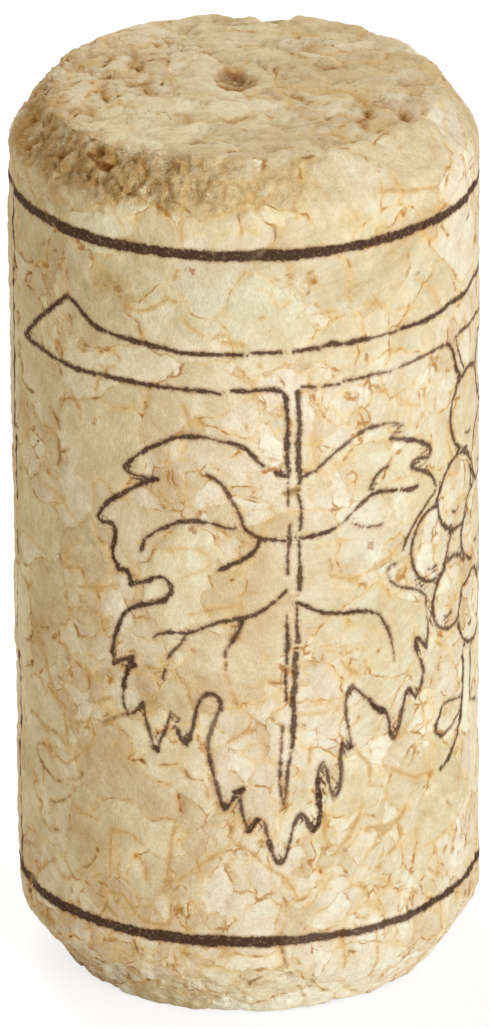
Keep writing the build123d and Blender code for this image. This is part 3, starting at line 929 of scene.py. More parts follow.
dip = total(
    relief,
    stepped,
    product(relief, cut, dented),
    product(relief, granules["gap"], gap_depth),
    swell,
    torn,
    product(relief, ramp(relief, pocket_depth, 0.1, 0.6), torn_crumbs),
    product(relief, stored("crumbly"), crumbs),
    product(relief, stored("rim"), chips),
)
inward = scaled(relief, stored("skin_normal", "FLOAT_VECTOR"), product(relief, dip, -MM))
moved = add_node(relief, "GeometryNodeSetPosition", {"Geometry": relief_in.outputs[0], "Offset": inward})
named = add_node(
    relief,
    "GeometryNodeStoreNamedAttribute",
    {"Geometry": moved.outputs[0], "Name": "dip", "Value": dip},
    data_type="FLOAT",
    domain="POINT",
)
relief.links.new(named.outputs[0], relief_out.inputs[0])

# Chamfers are ground coarser than the wall, the upper one most on its left, where its rim is worn and chipped. The
# ends are cut, with crumbled patches.
top_edge = top_reach - top_rim
on_top_chamfer = np.clip(top_edge / 0.5, 0, 1) * np.clip((3.3 - top_edge) / 1.2, 0, 1)
left_share = np.clip((88 - np.abs(np.degrees(bearings) + 62)) / 45, 0, 1)
on_top, on_base = np.clip(-top_edge / 0.6, 0, 1), np.clip(-base_edge / 0.6, 0, 1)
crumbly = on_top_chamfer * (0.22 + 0.78 * left_share) + on_base_chamfer * (0.14 + 0.4 * left_share)
crumb_patches = np.clip(raggedness * 1.6, 0, 1)
crumbly += (0.08 + 0.5 * crumb_patches) * np.maximum(on_top, on_base)
crumbly = np.maximum(crumbly, 0.75 * left_share * np.exp(-((top_edge / 0.9) ** 2)))
left_wall = np.clip((-np.degrees(bearings) - 35) / 25, 0, 1) * np.clip((np.degrees(bearings) + 150) / 40, 0, 1)
crumbly = np.maximum(crumbly, 0.1 + 0.14 * left_wall)
keep("crumbly", crumbly)
keep("cut", np.maximum(on_top, on_base))
top_rim_wear = (0.75 + 0.6 * left_share) * np.exp(-((top_edge / 0.65) ** 2))
keep("rim", np.maximum(top_rim_wear, 0.35 * np.exp(-((base_edge / 0.6) ** 2))))

# Print
# Dark brown lines, rolled onto the wall from a plate: a ring near each end, a frame, and in it a vine leaf, a cane,
# a bunch of grapes and a tendril. Places are (along the wall, up the wall), with the front at nought.

half_way_round = math.pi * cork_radius
top_ring = [(-half_way_round, 39.68, 0.45), (-24, 39.7, 0.45), (-17.5, 39.72, 0.44), (-13.5, 39.69, 0.46),
            (-10.5, 39.64, 0.56), (-7.5, 39.61, 0.6), (-4.5, 39.62, 0.52), (-1.5, 39.59, 0.5), (1.5, 39.64, 0.6),
            (4.5, 39.6, 0.5), (7.5, 39.6, 0.46), (10.5, 39.6, 0.46), (13.5, 39.62, 0.4), (17.5, 39.68, 0.4),
            (24, 39.7, 0.45), (half_way_round, 39.68, 0.45)]
base_ring = [(-half_way_round, 4.72, 0.45), (-24, 4.7, 0.45), (-17.5, 4.68, 0.46), (-13.5, 4.66, 0.5),
             (-10.5, 4.68, 0.54), (-7.5, 4.71, 0.46), (-4.5, 4.72, 0.56), (-1.5, 4.76, 0.6), (1.5, 4.72, 0.5)]
worn_ring = [(1.5, 4.72, 0.48), (3.0, 4.71, 0.44), (4.5, 4.7, 0.4), (7.5, 4.66, 0.4), (9.0, 4.7, 0.4)]
base_ring_end = [(9.0, 4.72, 0.4), (10.5, 4.8, 0.38), (13.5, 4.76, 0.36), (17.5, 4.7, 0.4), (24, 4.72, 0.45),
                 (half_way_round, 4.72, 0.45)]


def arc_line(centre, radii, start, end):
    """Part of a circle or an oval, from one angle to another in degrees."""
    angle = np.radians(np.linspace(start, end, 17))
    return np.stack([centre[0] + radii[0] * np.cos(angle), centre[1] + radii[1] * np.sin(angle)], axis=1)


# From here each line is its width and its points
frame_line = [
    (0.36, [(-15.0, 4.75), (-15.35, 5.1), (-15.4, 9.0), (-15.5, 15.8)]),
    (0.3, [(-15.5, 17.2), (-15.5, 22.0)]),
    (0.32, [(-15.45, 23.2), (-15.4, 30.0), (-15.35, 39.5)]),
    (0.34, [(20.6, 4.8), (20.65, 14.0), (20.6, 22.5)]),
    (0.32, [(20.6, 23.6), (20.55, 33.0), (20.6, 39.5)]),
]
cane = [
    (0.3, [(-13.45, 32.95), (-12.53, 33.72), (-11.95, 34.26), (-11.11, 34.91), (-10.45, 35.39), (-9.5, 36.2)]),
    (0.28, [(-9.52, 36.22), (-9.1, 36.12), (-8.63, 35.93)]),
    (0.27, [(-8.63, 35.93), (-8.14, 35.55), (-7.57, 35.22), (-6.5, 35.05), (-5.3, 34.93), (-4.0, 34.85),
            (-3.0, 34.7), (-2.0, 34.7), (-1.0, 34.72), (-0.1, 34.72)]),
    (0.26, [(0.4, 34.8), (1.0, 34.82), (1.65, 34.78)]),
    (0.25, [(2.35, 34.78), (3.5, 34.82), (4.2, 34.9), (4.65, 34.8)]),
    (0.27, [(4.85, 34.8), (5.6, 34.84), (6.15, 34.8)]),
    (0.18, [(6.2, 34.82), (7.0, 34.8), (8.0, 34.88)]),
    (0.28, [(8.0, 34.9), (9.2, 34.82), (10.5, 34.86), (12.0, 34.95), (13.5, 34.85), (14.5, 34.98), (16.2, 34.9),
            (17.9, 34.95)]),
    (0.27, [(-13.5, 32.95), (-12.0, 32.9), (-9.0, 32.75), (-7.0, 32.84), (-4.0, 32.86), (-2.0, 32.86), (-1.15, 32.76)]),
    (0.27, [(-0.6, 32.92), (0.4, 32.9), (1.3, 32.9), (1.72, 32.78), (1.93, 32.45), (1.95, 31.9)]),
    (0.2, [(2.7, 32.95), (3.3, 32.88)]),
    (0.2, [(3.8, 32.88), (4.5, 32.86)]),
    (0.24, [(4.9, 32.98), (6.3, 32.95)]),
    (0.16, [(6.3, 32.95), (7.4, 32.88)]),
    (0.18, [(7.9, 32.94), (9.3, 33.0), (10.9, 33.05), (11.4, 33.0)]),
    (0.2, [(12.3, 33.08), (14.0, 33.02), (15.6, 32.92), (17.4, 32.9), (19.0, 33.0)]),
    (0.28, [(19.0, 33.0), (18.5, 33.8), (17.9, 34.95)]),
]
stalk = [
    (0.26, [(1.95, 32.2), (2.0, 31.0), (1.94, 30.0), (2.0, 29.0), (2.0, 28.45)]),
    (0.12, [(2.0, 28.0), (2.0, 27.0)]),
    (0.22, [(2.06, 26.1), (2.03, 25.2), (1.96, 24.4), (1.95, 23.6)]),
    (0.1, [(1.9, 21.6), (1.9, 21.1)]),
    (0.26, [(1.9, 21.0), (1.92, 20.1), (1.86, 19.1)]),
    (0.2, [(1.8, 18.6), (1.8, 18.0), (1.86, 17.1)]),
    (0.13, [(1.68, 15.9), (1.6, 15.0), (1.55, 14.2)]),
    (0.2, [(1.55, 14.0), (1.5, 13.1), (1.62, 12.2), (1.7, 11.65)]),
]
leaf = [
    (0.27, [(1.95, 28.6), (1.7, 28.6), (1.42, 28.72)]),
    (0.26, [(0.8, 29.12), (0.4, 29.55), (0.0, 30.0), (-0.5, 30.25), (-1.2, 30.38)]),
    (0.2, [(-1.2, 30.38), (-1.6, 30.5), (-2.2, 30.56)]),
    (0.27, [(-2.2, 30.56), (-2.8, 30.5), (-3.4, 30.35), (-4.0, 30.05), (-4.6, 29.7), (-5.1, 29.35), (-5.6, 28.92),
            (-5.95, 28.5)]),
    (0.22, [(-5.95, 28.5), (-5.75, 28.3), (-5.2, 28.2), (-4.7, 28.2)]),
    (0.4, [(-4.55, 28.15), (-4.25, 28.2)]),
    (0.28, [(-4.4, 28.15), (-4.9, 27.92), (-5.6, 27.5), (-6.3, 27.0), (-6.9, 26.55), (-7.3, 26.05), (-7.6, 25.6)]),
    (0.25, [(-7.6, 25.6), (-7.3, 25.42), (-6.85, 25.5), (-6.55, 25.3), (-6.52, 24.9)]),
    (0.3, [(-6.52, 25.1), (-6.6, 24.6), (-6.72, 24.2), (-6.66, 23.8), (-6.5, 23.5), (-6.45, 23.15)]),
    (0.27, [(-6.45, 23.15), (-6.1, 23.28), (-5.85, 23.2), (-5.74, 22.9), (-5.68, 22.58)]),
    (0.27, [(-5.68, 22.58), (-5.3, 22.72), (-4.8, 22.98), (-4.3, 23.24), (-3.9, 23.22), (-3.65, 22.95), (-3.65, 22.5),
            (-3.95, 22.1), (-4.6, 21.85), (-5.3, 21.6), (-6.0, 21.12), (-6.4, 20.4), (-6.65, 19.6), (-6.8, 18.9),
            (-6.75, 18.3)]),
    (0.27, [(-6.75, 18.3), (-6.3, 18.6), (-5.6, 18.9)]),
    (0.42, [(-5.85, 18.7), (-5.6, 18.5)]),
    (0.3, [(-5.75, 18.6), (-5.95, 18.15), (-6.12, 17.6), (-6.2, 17.2)]),
    (0.2, [(-6.2, 17.2), (-6.18, 16.4), (-5.95, 15.85)]),
    (0.24, [(-5.95, 15.85), (-5.5, 16.15), (-5.15, 16.6)]),
    (0.2, [(-5.1, 16.4), (-4.95, 15.7), (-4.75, 15.0), (-4.6, 14.5)]),
    (0.42, [(-4.6, 14.45), (-4.4, 14.35)]),
    (0.22, [(-4.4, 14.4), (-4.15, 15.1), (-3.9, 15.7), (-3.72, 16.35)]),
    (0.2, [(-3.72, 16.35), (-3.3, 16.1)]),
    (0.24, [(-3.45, 15.6), (-3.2, 15.1), (-2.95, 14.8)]),
    (0.24, [(-2.95, 14.8), (-2.75, 15.3), (-2.55, 16.1), (-2.4, 16.8), (-2.15, 17.3), (-1.8, 17.52), (-1.42, 17.4),
            (-1.24, 17.0), (-1.5, 16.3), (-1.75, 15.6), (-1.92, 15.0)]),
    (0.28, [(-1.92, 14.95), (-1.85, 14.2), (-1.72, 13.6), (-1.6, 13.2)]),
    (0.18, [(-1.6, 13.2), (-1.42, 12.5), (-1.28, 11.9)]),
    (0.27, [(-1.28, 11.9), (-1.1, 11.65), (-0.85, 11.9), (-0.6, 12.3)]),
    (0.46, [(-0.6, 12.45), (-0.3, 12.65)]),
    (0.2, [(-0.35, 12.5), (-0.35, 11.8), (-0.25, 11.2), (-0.05, 10.7)]),
    (0.3, [(-0.1, 10.5), (0.1, 10.5), (0.3, 10.9), (0.45, 11.05)]),
    (0.24, [(0.75, 10.95), (0.9, 10.2), (1.1, 9.4), (1.3, 8.9), (1.5, 8.74)]),
    (0.22, [(1.5, 8.74), (1.75, 9.1), (1.95, 9.8), (2.15, 10.6), (2.4, 11.1), (2.6, 11.22), (2.8, 10.9), (3.0, 10.4),
            (3.12, 10.25)]),
    (0.3, [(3.1, 10.25), (3.35, 10.55), (3.5, 11.2)]),
    (0.34, [(3.48, 11.2), (3.4, 12.0), (3.35, 12.9)]),
    (0.2, [(3.35, 12.9), (3.42, 13.5), (3.6, 13.72), (3.78, 13.4), (3.9, 12.8), (4.0, 12.3), (4.1, 11.8)]),
    (0.2, [(4.1, 11.8), (4.35, 12.1), (4.5, 12.7), (4.5, 13.6), (4.55, 14.2), (4.65, 14.5)]),
    (0.24, [(4.65, 14.5), (4.9, 14.2)]),
    (0.4, [(4.95, 14.25), (5.05, 14.3)]),
    (0.19, [(5.05, 14.4), (5.0, 15.0), (4.86, 15.8), (4.8, 16.7), (4.95, 17.2), (5.15, 17.45)]),
    (0.2, [(5.15, 17.45), (5.5, 17.05), (6.0, 16.6)]),
    (0.3, [(6.0, 16.6), (6.4, 16.05), (6.7, 15.8), (7.0, 15.7)]),
    (0.24, [(7.0, 15.7), (7.2, 15.2), (7.3, 14.6), (7.5, 14.12), (7.7, 14.2), (7.88, 14.8), (8.1, 15.6), (8.3, 16.2),
            (8.5, 16.42)]),
    (0.28, [(8.5, 16.42), (8.7, 16.15), (8.95, 15.85)]),
    (0.22, [(8.95, 15.85), (9.2, 16.1), (9.4, 16.7), (9.44, 17.2), (9.3, 17.6), (9.1, 18.0)]),
    (0.26, [(9.1, 18.0), (8.95, 18.5), (9.0, 18.85), (9.35, 18.6), (9.75, 18.1)]),
    (0.2, [(9.75, 18.1), (9.86, 18.7), (9.86, 19.4)]),
    (0.14, [(9.86, 19.4), (9.75, 20.0), (9.66, 20.7), (9.5, 21.0)]),
    (0.18, [(9.5, 21.0), (9.0, 21.35), (8.4, 21.6), (7.8, 21.85)]),
    (0.17, [(7.8, 21.85), (7.5, 22.1), (7.25, 22.4), (7.2, 22.8), (7.4, 23.04), (7.7, 23.05)]),
    (0.22, [(2.6, 28.4), (2.85, 28.5), (3.1, 28.6)]),
    (0.2, [(3.4, 28.7), (3.9, 29.1), (4.5, 29.55), (4.9, 29.8), (5.2, 29.95)]),
    (0.2, [(5.6, 30.2), (6.1, 30.3), (6.5, 30.3), (7.1, 30.32)]),
    (0.1, [(7.1, 30.32), (7.6, 30.22), (8.0, 30.05)]),
    (0.2, [(8.1, 29.98), (7.65, 29.72), (7.35, 29.5)]),
    (0.24, [(7.35, 29.5), (7.8, 29.35), (8.3, 29.2), (8.9, 29.0), (9.3, 28.75), (9.8, 28.45), (10.1, 28.2),
            (10.12, 27.95), (9.9, 27.8)]),
    (0.18, [(9.9, 27.8), (9.5, 27.9), (9.2, 28.0), (8.85, 28.0)]),
    (0.22, [(8.85, 28.0), (8.7, 27.85), (8.8, 27.6), (9.2, 27.4), (9.7, 27.15), (10.0, 26.9), (10.2, 26.6),
            (10.34, 26.3)]),
]
veins = [
    (0.22, [(-1.8, 28.65), (-1.4, 28.4), (-1.0, 28.0), (-0.7, 27.4), (-0.35, 26.8), (-0.15, 26.2)]),
    (0.32, [(-0.15, 26.15), (-0.02, 25.9)]),
    (0.24, [(-5.15, 24.4), (-4.9, 25.0), (-4.5, 25.4), (-4.0, 25.75), (-3.5, 26.0), (-3.0, 26.2), (-2.2, 26.25),
            (-1.5, 26.15), (-0.9, 26.0), (-0.6, 25.95)]),
    (0.22, [(-0.05, 25.92), (0.2, 25.75), (0.6, 25.5), (1.2, 25.4), (1.7, 25.3), (2.0, 25.25)]),
    (0.27, [(0.6, 25.5), (0.55, 25.1), (0.2, 24.7), (-0.2, 24.4), (-0.7, 24.15), (-1.3, 23.85)]),
    (0.26, [(2.55, 25.35), (3.2, 25.4), (3.8, 25.5), (4.3, 25.65)]),
    (0.13, [(4.3, 25.65), (4.8, 25.9)]),
    (0.2, [(4.8, 25.95), (5.1, 26.2), (5.5, 26.5), (6.0, 26.8), (6.3, 26.95)]),
    (0.26, [(6.3, 26.95), (7.0, 26.92), (7.7, 26.8)]),
    (0.24, [(8.1, 26.7), (8.5, 26.6), (9.0, 26.6)]),
    (0.19, [(6.2, 27.3), (6.35, 27.6), (6.7, 27.95), (7.2, 28.15)]),
    (0.16, [(5.35, 25.65), (5.55, 25.5)]),
    (0.17, [(6.0, 25.35), (6.8, 25.3)]),
    (0.24, [(1.85, 22.75), (1.5, 22.4), (1.0, 22.0), (0.5, 21.7), (0.0, 21.5), (-0.6, 21.35), (-1.2, 21.25),
            (-1.8, 21.0), (-2.3, 20.75), (-2.9, 20.45)]),
    (0.23, [(-2.9, 20.45), (-3.3, 20.52), (-3.8, 20.45), (-4.3, 20.3), (-4.5, 20.1)]),
    (0.2, [(-2.95, 20.4), (-3.2, 19.9), (-3.6, 19.5), (-3.85, 19.1)]),
    (0.2, [(-3.98, 18.5), (-4.1, 18.05)]),
    (0.27, [(-0.2, 21.4), (-0.3, 21.05), (-0.5, 20.6), (-0.8, 20.1)]),
    (0.2, [(-1.0, 19.8), (-1.05, 19.5)]),
    (0.25, [(2.35, 22.1), (2.7, 21.95), (3.2, 21.65), (3.8, 21.4), (4.5, 21.25)]),
    (0.29, [(4.75, 21.2), (5.5, 21.15), (6.0, 21.05)]),
    (0.22, [(6.0, 21.05), (6.6, 20.75), (6.95, 20.25), (7.2, 19.7)]),
    (0.14, [(7.2, 19.7), (7.4, 19.1), (7.5, 18.6)]),
    (0.08, [(7.5, 18.6), (7.55, 18.1)]),
]
grapes = [
    ((13.9, 28.95), (2.08, 2.0), 20, 262),
    ((12.55, 25.15), (1.88, 1.87), -20, 310),
    ((10.25, 23.3), (1.6, 1.86), 80, 370),
    ((12.0, 20.15), (1.76, 1.76), 40, 288),
    ((14.62, 18.5), (1.9, 1.75), 0, 360),
    ((15.05, 22.75), (1.92, 1.9), 100, 262),
    ((16.5, 26.3), (1.95, 1.9), 0, 360),
    ((17.5, 30.2), (1.8, 1.8), 0, 360),
    ((18.2, 20.6), (1.75, 1.8), 0, 360),
]
shines = [(13.7, 27.75), (12.3, 24.25), (10.1, 22.1), (11.65, 19.1), (14.2, 17.75), (15.3, 21.6), (16.6, 25.2),
          (17.6, 29.0)]
grape_lines = [(0.24, arc_line(*grape)) for grape in grapes]
grape_lines += [(0.16, [(x - 0.34, z + 0.07), (x, z - 0.05), (x + 0.34, z + 0.03)]) for x, z in shines]
bunch_stalk = [
    (0.27, [(11.5, 33.0), (11.8, 32.7), (12.15, 32.1), (12.5, 31.4), (12.78, 31.0)]),
    (0.22, [(12.05, 22.0), (12.6, 21.85), (13.1, 21.75)]),
    (0.24, [(13.17, 16.75), (13.25, 16.1), (13.25, 15.3), (13.15, 14.5)]),
    (0.24, [(14.35, 16.5), (14.33, 15.4), (14.3, 14.4), (14.3, 13.7)]),
    (0.22, [(14.8, 13.5), (15.6, 13.2)]),
]
tendril = [
    (0.16, [(12.8, 13.78), (12.3, 13.5), (11.8, 13.28), (11.3, 13.15), (10.95, 13.15)]),
    (0.24, [(10.95, 13.15), (10.6, 13.35), (10.42, 13.7), (10.55, 14.15), (10.8, 14.5)]),
    (0.17, [(10.8, 14.5), (11.2, 14.75), (11.7, 14.72), (12.1, 14.6), (12.6, 14.48), (13.1, 14.5)]),
    (0.32, [(13.12, 14.5), (13.0, 13.9), (13.02, 13.3), (12.85, 12.9), (12.5, 12.5)]),
    (0.26, [(12.5, 12.5), (12.1, 12.2), (11.6, 11.9), (11.2, 11.65), (10.8, 11.5)]),
]
# Lines that run close beside others are laid apart from them, so that each keeps its own edges
beside = [
    (0.17, [(12.33, 32.95), (12.55, 32.4), (12.85, 31.85), (13.35, 31.1)]),
    (0.2, [(8.1, 23.7), (8.35, 24.15), (8.9, 24.85), (9.4, 25.3), (9.9, 25.68), (10.35, 25.95)]),
    (0.27, [(2.5, 32.75), (2.5, 32.0), (2.56, 31.1), (2.5, 30.0), (2.5, 29.0), (2.58, 28.4), (2.53, 28.1)]),
    (0.24, [(2.5, 27.5), (2.6, 26.8), (2.56, 25.9)]),
    (0.2, [(2.52, 25.4), (2.5, 24.2)]),
    (0.32, [(2.52, 23.9), (2.52, 23.2)]),
    (0.2, [(2.5, 23.0), (2.5, 22.7)]),
    (0.18, [(2.4, 22.1), (2.34, 21.2)]),
    (0.3, [(2.36, 21.0), (2.4, 20.1)]),
    (0.32, [(2.32, 19.55), (2.27, 18.9), (2.32, 18.3), (2.22, 17.6), (2.17, 17.0), (2.17, 16.6)]),
    (0.32, [(2.2, 16.3), (2.17, 15.6), (2.1, 14.7)]),
    (0.2, [(2.02, 14.3), (1.92, 13.6), (1.86, 12.9), (1.76, 12.0), (1.68, 11.6)]),
]
# The finest lines are printed the weakest
line_weight, line_taper = 0.92, 0.2
least_cover, cover_for_width = 0.55, 1.5
beside_cover, worn_cover = 0.9, 0.92


def printed(width, points, cover):
    return stroke(width * line_weight, points, cover, line_taper)


lines = frame_line + cane + stalk + leaf + veins + bunch_stalk + tendril + grape_lines
print_strokes = [printed(*line, min(1.0, least_cover + cover_for_width * line[0])) for line in lines]
print_strokes += [stroke(None, ring) for ring in (top_ring, base_ring, base_ring_end)]
print_strokes.append(stroke(None, worn_ring, worn_cover))
beside_strokes = [printed(*line, beside_cover) for line in beside]
on_wall = (skin[:, 2] > 3) & (skin[:, 2] < 41)
for name, strokes in (("ink", print_strokes), ("beside", beside_strokes)):
    offset, edge, cover = np.zeros((len(skin), 3)), np.full(len(skin), line_reach), np.zeros(len(skin))
    offset[on_wall], edge[on_wall], cover[on_wall] = line_fields(wall_places[on_wall], strokes)
    keep(name + "_offset", offset)
    keep(name + "_edge", edge)
    keep(name + "_cover", cover)

# Skin finish
# Bare ground cork, dull and dry. Granules range from cream to tan, with golden glue in the tight joints and dark
# brown in the open ones, and the print is a dark brown ink that misses the low places.

finish = bpy.data.materials.new("pressed_cork")
finish.use_nodes = True
shade = finish.node_tree
principled = shade.nodes["Principled BSDF"]
principled.inputs["Roughness"].default_value = 0.85
principled.inputs["Specular IOR Level"].default_value = 0.2
glue_stain, soft_glue = (222, 174, 98), (228, 186, 106)
pale_joint, brown_joint = (220, 178, 98), (174, 114, 36)
golden_gap, dark_gap = (200, 140, 60), (116, 68, 26)
clod_joint, grain_joint = (190, 138, 70), (202, 156, 92)
pale_pit, brown_pit = (214, 170, 106), (158, 104, 50)
# The two pocket browns are partly torn cork's own colour and partly painted shade
torn_brown_and_painted_shade, buried_brown_and_painted_shade = (182, 120, 50), (98, 58, 26)
ink_brown, bled_brown = (62, 36, 21), (160, 106, 52)


def read(name, output="Fac"):
    return add_node(shade, "ShaderNodeAttribute", attribute_name=name).outputs[output]


def screen(colour):
    """A colour given as eight-bit screen values."""
    values = [v / 255 for v in colour]
    return (*(v / 12.92 if v <= 0.04045 else ((v + 0.055) / 1.055) ** 2.4 for v in values), 1.0)


def painted(factor, below, over):
    """Lays a colour, given as screen values, over the colour so far."""
    return mixed(shade, factor, below, screen(over))


def skin_noise(*noise_kind):
    return noise(shade, point, *noise_kind).outputs[0]


def skin_clouds(noise_kind, start, end, low=0.0, high=1.0):
    return clouded(shade, point, noise_kind, start, end, low, high)


def ragged(reach, *noise_kind):
    """A random shift for a line's edge."""
    return product(shade, maths(shade, "SUBTRACT", skin_noise(*noise_kind), 0.5), reach)


def tone_ramp(value, stops):
    node = add_node(shade, "ShaderNodeValToRGB", {0: value})
    for position in list(stops)[2:]:
        node.color_ramp.elements.new(position)
    for element, (position, colour) in zip(node.color_ramp.elements, stops.items()):
        element.position, element.color = position, screen(colour)
    return node.outputs[0]


mesh_allowance = 0.11


def line_outside(name):
    """How far a point lies outside the nearest drawn line's edge, exact across the line and safe between lines."""
    offset = add_node(shade, "ShaderNodeSeparateXYZ", {0: read(name + "_offset", "Vector")}).outputs
    across = add_node(shade, "ShaderNodeCombineXYZ", {0: offset[0], 1: offset[1], 2: 0.0}).outputs[0]
    outside = maths(shade, "SUBTRACT", vectors(shade, "LENGTH", across, output="Value"), offset[2])
    return maths(shade, "MAXIMUM", outside, maths(shade, "SUBTRACT", read(name + "_edge"), mesh_allowance))


point = read("skin_point", "Vector")
granules = draw_granules(shade, point, read("marked"))
parts, chip_parts = granules["parts"], granules["chip_parts"]

# Tones of the granules, cloudy within each, with the bark's faint growth lines
own_share, cloud_share, layer_share, tone_shift = 0.34, 0.85, 0.4, -0.295
own_tone = add_node(
    shade, "ShaderNodeMix", {0: granules["chipped"], 2: parts[2], 3: chip_parts[2]}, data_type="FLOAT"
).outputs[0]
grown_across = vectors(shade, "NORMALIZE", vectors(shade, "SUBTRACT", granules["colour"], middle))
depth = vectors(shade, "DOT_PRODUCT", point, grown_across, output="Value")
layered = vectors(shade, "ADD", scaled(shade, point, 0.5), scaled(shade, grown_across, product(shade, depth, 2.6)))
layered = vectors(shade, "ADD", layered, scaled(shade, granules["colour"], 20.0))
tone = total(
    shade,
    product(shade, own_tone, own_share),
    product(shade, skin_noise(0.5, 3.0, 0.6), cloud_share),
    product(shade, noise(shade, layered, 1.3, 3.0, 0.6).outputs[0], layer_share),
    tone_shift,
)
granule_tones = {
    0.0: (194, 156, 100), 1.0: (253, 248, 226), 0.28: (225, 198, 145), 0.5: (240, 223, 179), 0.75: (247, 238, 207)
}
granule_hues = {0.0: (255, 250, 226), 1.0: (254, 247, 234), 0.4: (255, 253, 246), 0.7: (252, 250, 240)}
colour = mixed(shade, 0.8, tone_ramp(tone, granule_tones), tone_ramp(parts[0], granule_hues), "MULTIPLY")
grain = total(
    shade,
    skin_clouds((4.5, 3.0, 0.6), 0.25, 0.75, -0.06, 0.06),
    skin_clouds((13.0, 2.0, 0.6), 0.25, 0.75, -0.05, 0.05),
    1.0,
)
grain_colour = add_node(shade, "ShaderNodeCombineColor", {0: grain, 1: grain, 2: grain}).outputs[0]
colour = mixed(shade, 1.0, colour, grain_colour, "MULTIPLY")
# The tint brings the patches' tones: the granules' own, and painted light and painted shade
tinted_with_painted_light_and_shade = vectors(shade, "MULTIPLY", colour, read("tint_with_painted_light_and_shade", "Vector"))
colour = mixed(shade, skin_clouds((2.3, 3.0, 0.6), 0.32, 0.66, 0.55, 1.15), colour, tinted_with_painted_light_and_shade)

# Joints, crumbs and pits
crumbly, cut = read("crumbly"), read("cut")
glue = product(shade, ramp(shade, granules["nearest"], 0.0, 0.4, 0.4, 0.0), skin_clouds((0.8, 3.0, 0.6), 0.42, 0.62))
colour = painted(glue, colour, soft_glue)
joint_width = skin_clouds((1.7,), 0.35, 0.7, 0.045, 0.12)
joint = ramp(shade, maths(shade, "DIVIDE", granules["nearest"], joint_width), 0.1, 1.5, 1.0, 0.0)
joint_stain = skin_clouds((1.1, 3.0, 0.65), 0.4, 0.66, 0.08, 0.9)
joint = product(shade, joint, joint_stain, maths(shade, "MULTIPLY_ADD", cut, -0.3, 1.0))
colour = mixed(shade, joint, colour, tone_ramp(joint_stain, {0.2: pale_joint, 0.85: brown_joint}))
# Crumbs are read a little deeper than the skin, so that they don't stretch down a pocket's sides
sunk = scaled(shade, read("skin_normal", "Vector"), product(shade, read("dip"), -1.5))
clods, grains = draw_crumbs(shade, vectors(shade, "ADD", point, sunk))
colour = painted(product(shade, clods, crumbly, 0.7), colour, clod_joint)
colour = painted(product(shade, grains, crumbly, 0.5), colour, grain_joint)
pit_cell = add_node(shade, "ShaderNodeTexVoronoi", {"Vector": point, "Scale": 0.85}, feature="F1")
pit_parts = add_node(shade, "ShaderNodeSeparateColor", {0: pit_cell.outputs["Color"]}).outputs
pit_size = ramp(shade, pit_parts[1], 0.0, 1.0, 0.08, 0.24)
pit_ragged = skin_clouds((3.2, 2.0, 0.55), 0.3, 0.7, -0.1, 0.1)
pit_distance = total(shade, pit_cell.outputs["Distance"], pit_ragged)
pit = ramp(shade, maths(shade, "DIVIDE", pit_distance, pit_size), 0.4, 1.1, 1.0, 0.0)
pit_strength = ramp(shade, pit_parts[2], 0.2, 1.0, 0.25, 0.7)
pit = product(shade, pit, maths(shade, "GREATER_THAN", pit_parts[0], 0.86), pit_strength)
colour = mixed(shade, pit, colour, tone_ramp(pit_parts[2], {0.0: pale_pit, 0.8: brown_pit}))
gap = product(shade, granules["gap"], 0.85)
colour = mixed(shade, gap, colour, tone_ramp(granules["looseness"], {0.58: golden_gap, 0.74: dark_gap}))

# Torn pockets, browned the more the deeper they are, partly as torn cork and partly as painted shade, and cracks, with
# the glue's stain beside the dark ones
pocket = read("pocket")
deep_brown_and_painted_shade = product(shade, ramp(shade, pocket, 0.02, 0.32), skin_clouds((2.4, 3.0, 0.6), 0.34, 0.6, 0.4, 1.0), 0.82)
colour = painted(deep_brown_and_painted_shade, colour, torn_brown_and_painted_shade)
# Darker still between the crumbs deep in a pocket: partly the crumbs' own brown and partly painted shade
buried_dark_and_painted_shade = product(shade, maths(shade, "MAXIMUM", clods, grains), ramp(shade, pocket, 0.15, 0.6, 0.0, 0.8))
colour = painted(buried_dark_and_painted_shade, colour, buried_brown_and_painted_shade)
crack_shade = read("crack_shade")
patchy = skin_clouds((1.9, 3.0, 0.6), 0.32, 0.54, 0.35, 1.0)
outside = maths(shade, "ADD", line_outside("crack"), ragged(0.3, 1.5, 2.0, 0.6))
stain_strength = ramp(shade, crack_shade, 0.0, 0.6, 0.3, 1.0)
stain = product(shade, ramp(shade, outside, -0.04, 0.22, 0.6, 0.0), stain_strength, patchy)
colour = painted(stain, colour, glue_stain)
crack = ramp(shade, total(shade, outside, ragged(0.26, 3.4, 3.0, 0.6), -0.01), -0.08, 0.07, 1.0, 0.0)
crack = product(shade, crack, ramp(shade, crack_shade, 0.2, 1.0, 0.5, 0.95), patchy)
crack_tones = {FAINT: (216, 176, 112), DARK: (78, 42, 18), GOLDEN: (198, 142, 66), BROWN: (142, 86, 36)}
colour = mixed(shade, crack, colour, tone_ramp(crack_shade, crack_tones))

# Ink, which has bled a little into the cork
ink_ragged = ragged(0.2, 5.0, 2.0, 0.6)
ink_blots = maths(shade, "MULTIPLY_ADD", skin_noise(1.7, 2.0, 0.6), -0.26, 0.138)
laid, bled = [], []
for name in ("ink", "beside"):
    from_line = total(shade, line_outside(name), ink_ragged, ink_blots)
    laid.append(product(shade, ramp(shade, from_line, -0.055, 0.05, 1.0, 0.0), read(name + "_cover")))
    bled.append(product(shade, ramp(shade, from_line, -0.02, 0.17, 0.58, 0.0), read(name + "_cover")))
colour = painted(maths(shade, "MAXIMUM", *bled), colour, bled_brown)
ink_thin = skin_clouds((6.0, 3.0, 0.65), 0.28, 0.5, 0.62, 1.0)
shallow = ramp(shade, read("dip"), 0.12, 0.3, 1.0, 0.2)
ink = product(shade, maths(shade, "MAXIMUM", *laid), ink_thin, shallow, maths(shade, "SUBTRACT", 1.0, gap), 0.96)
colour = painted(ink, colour, ink_brown)
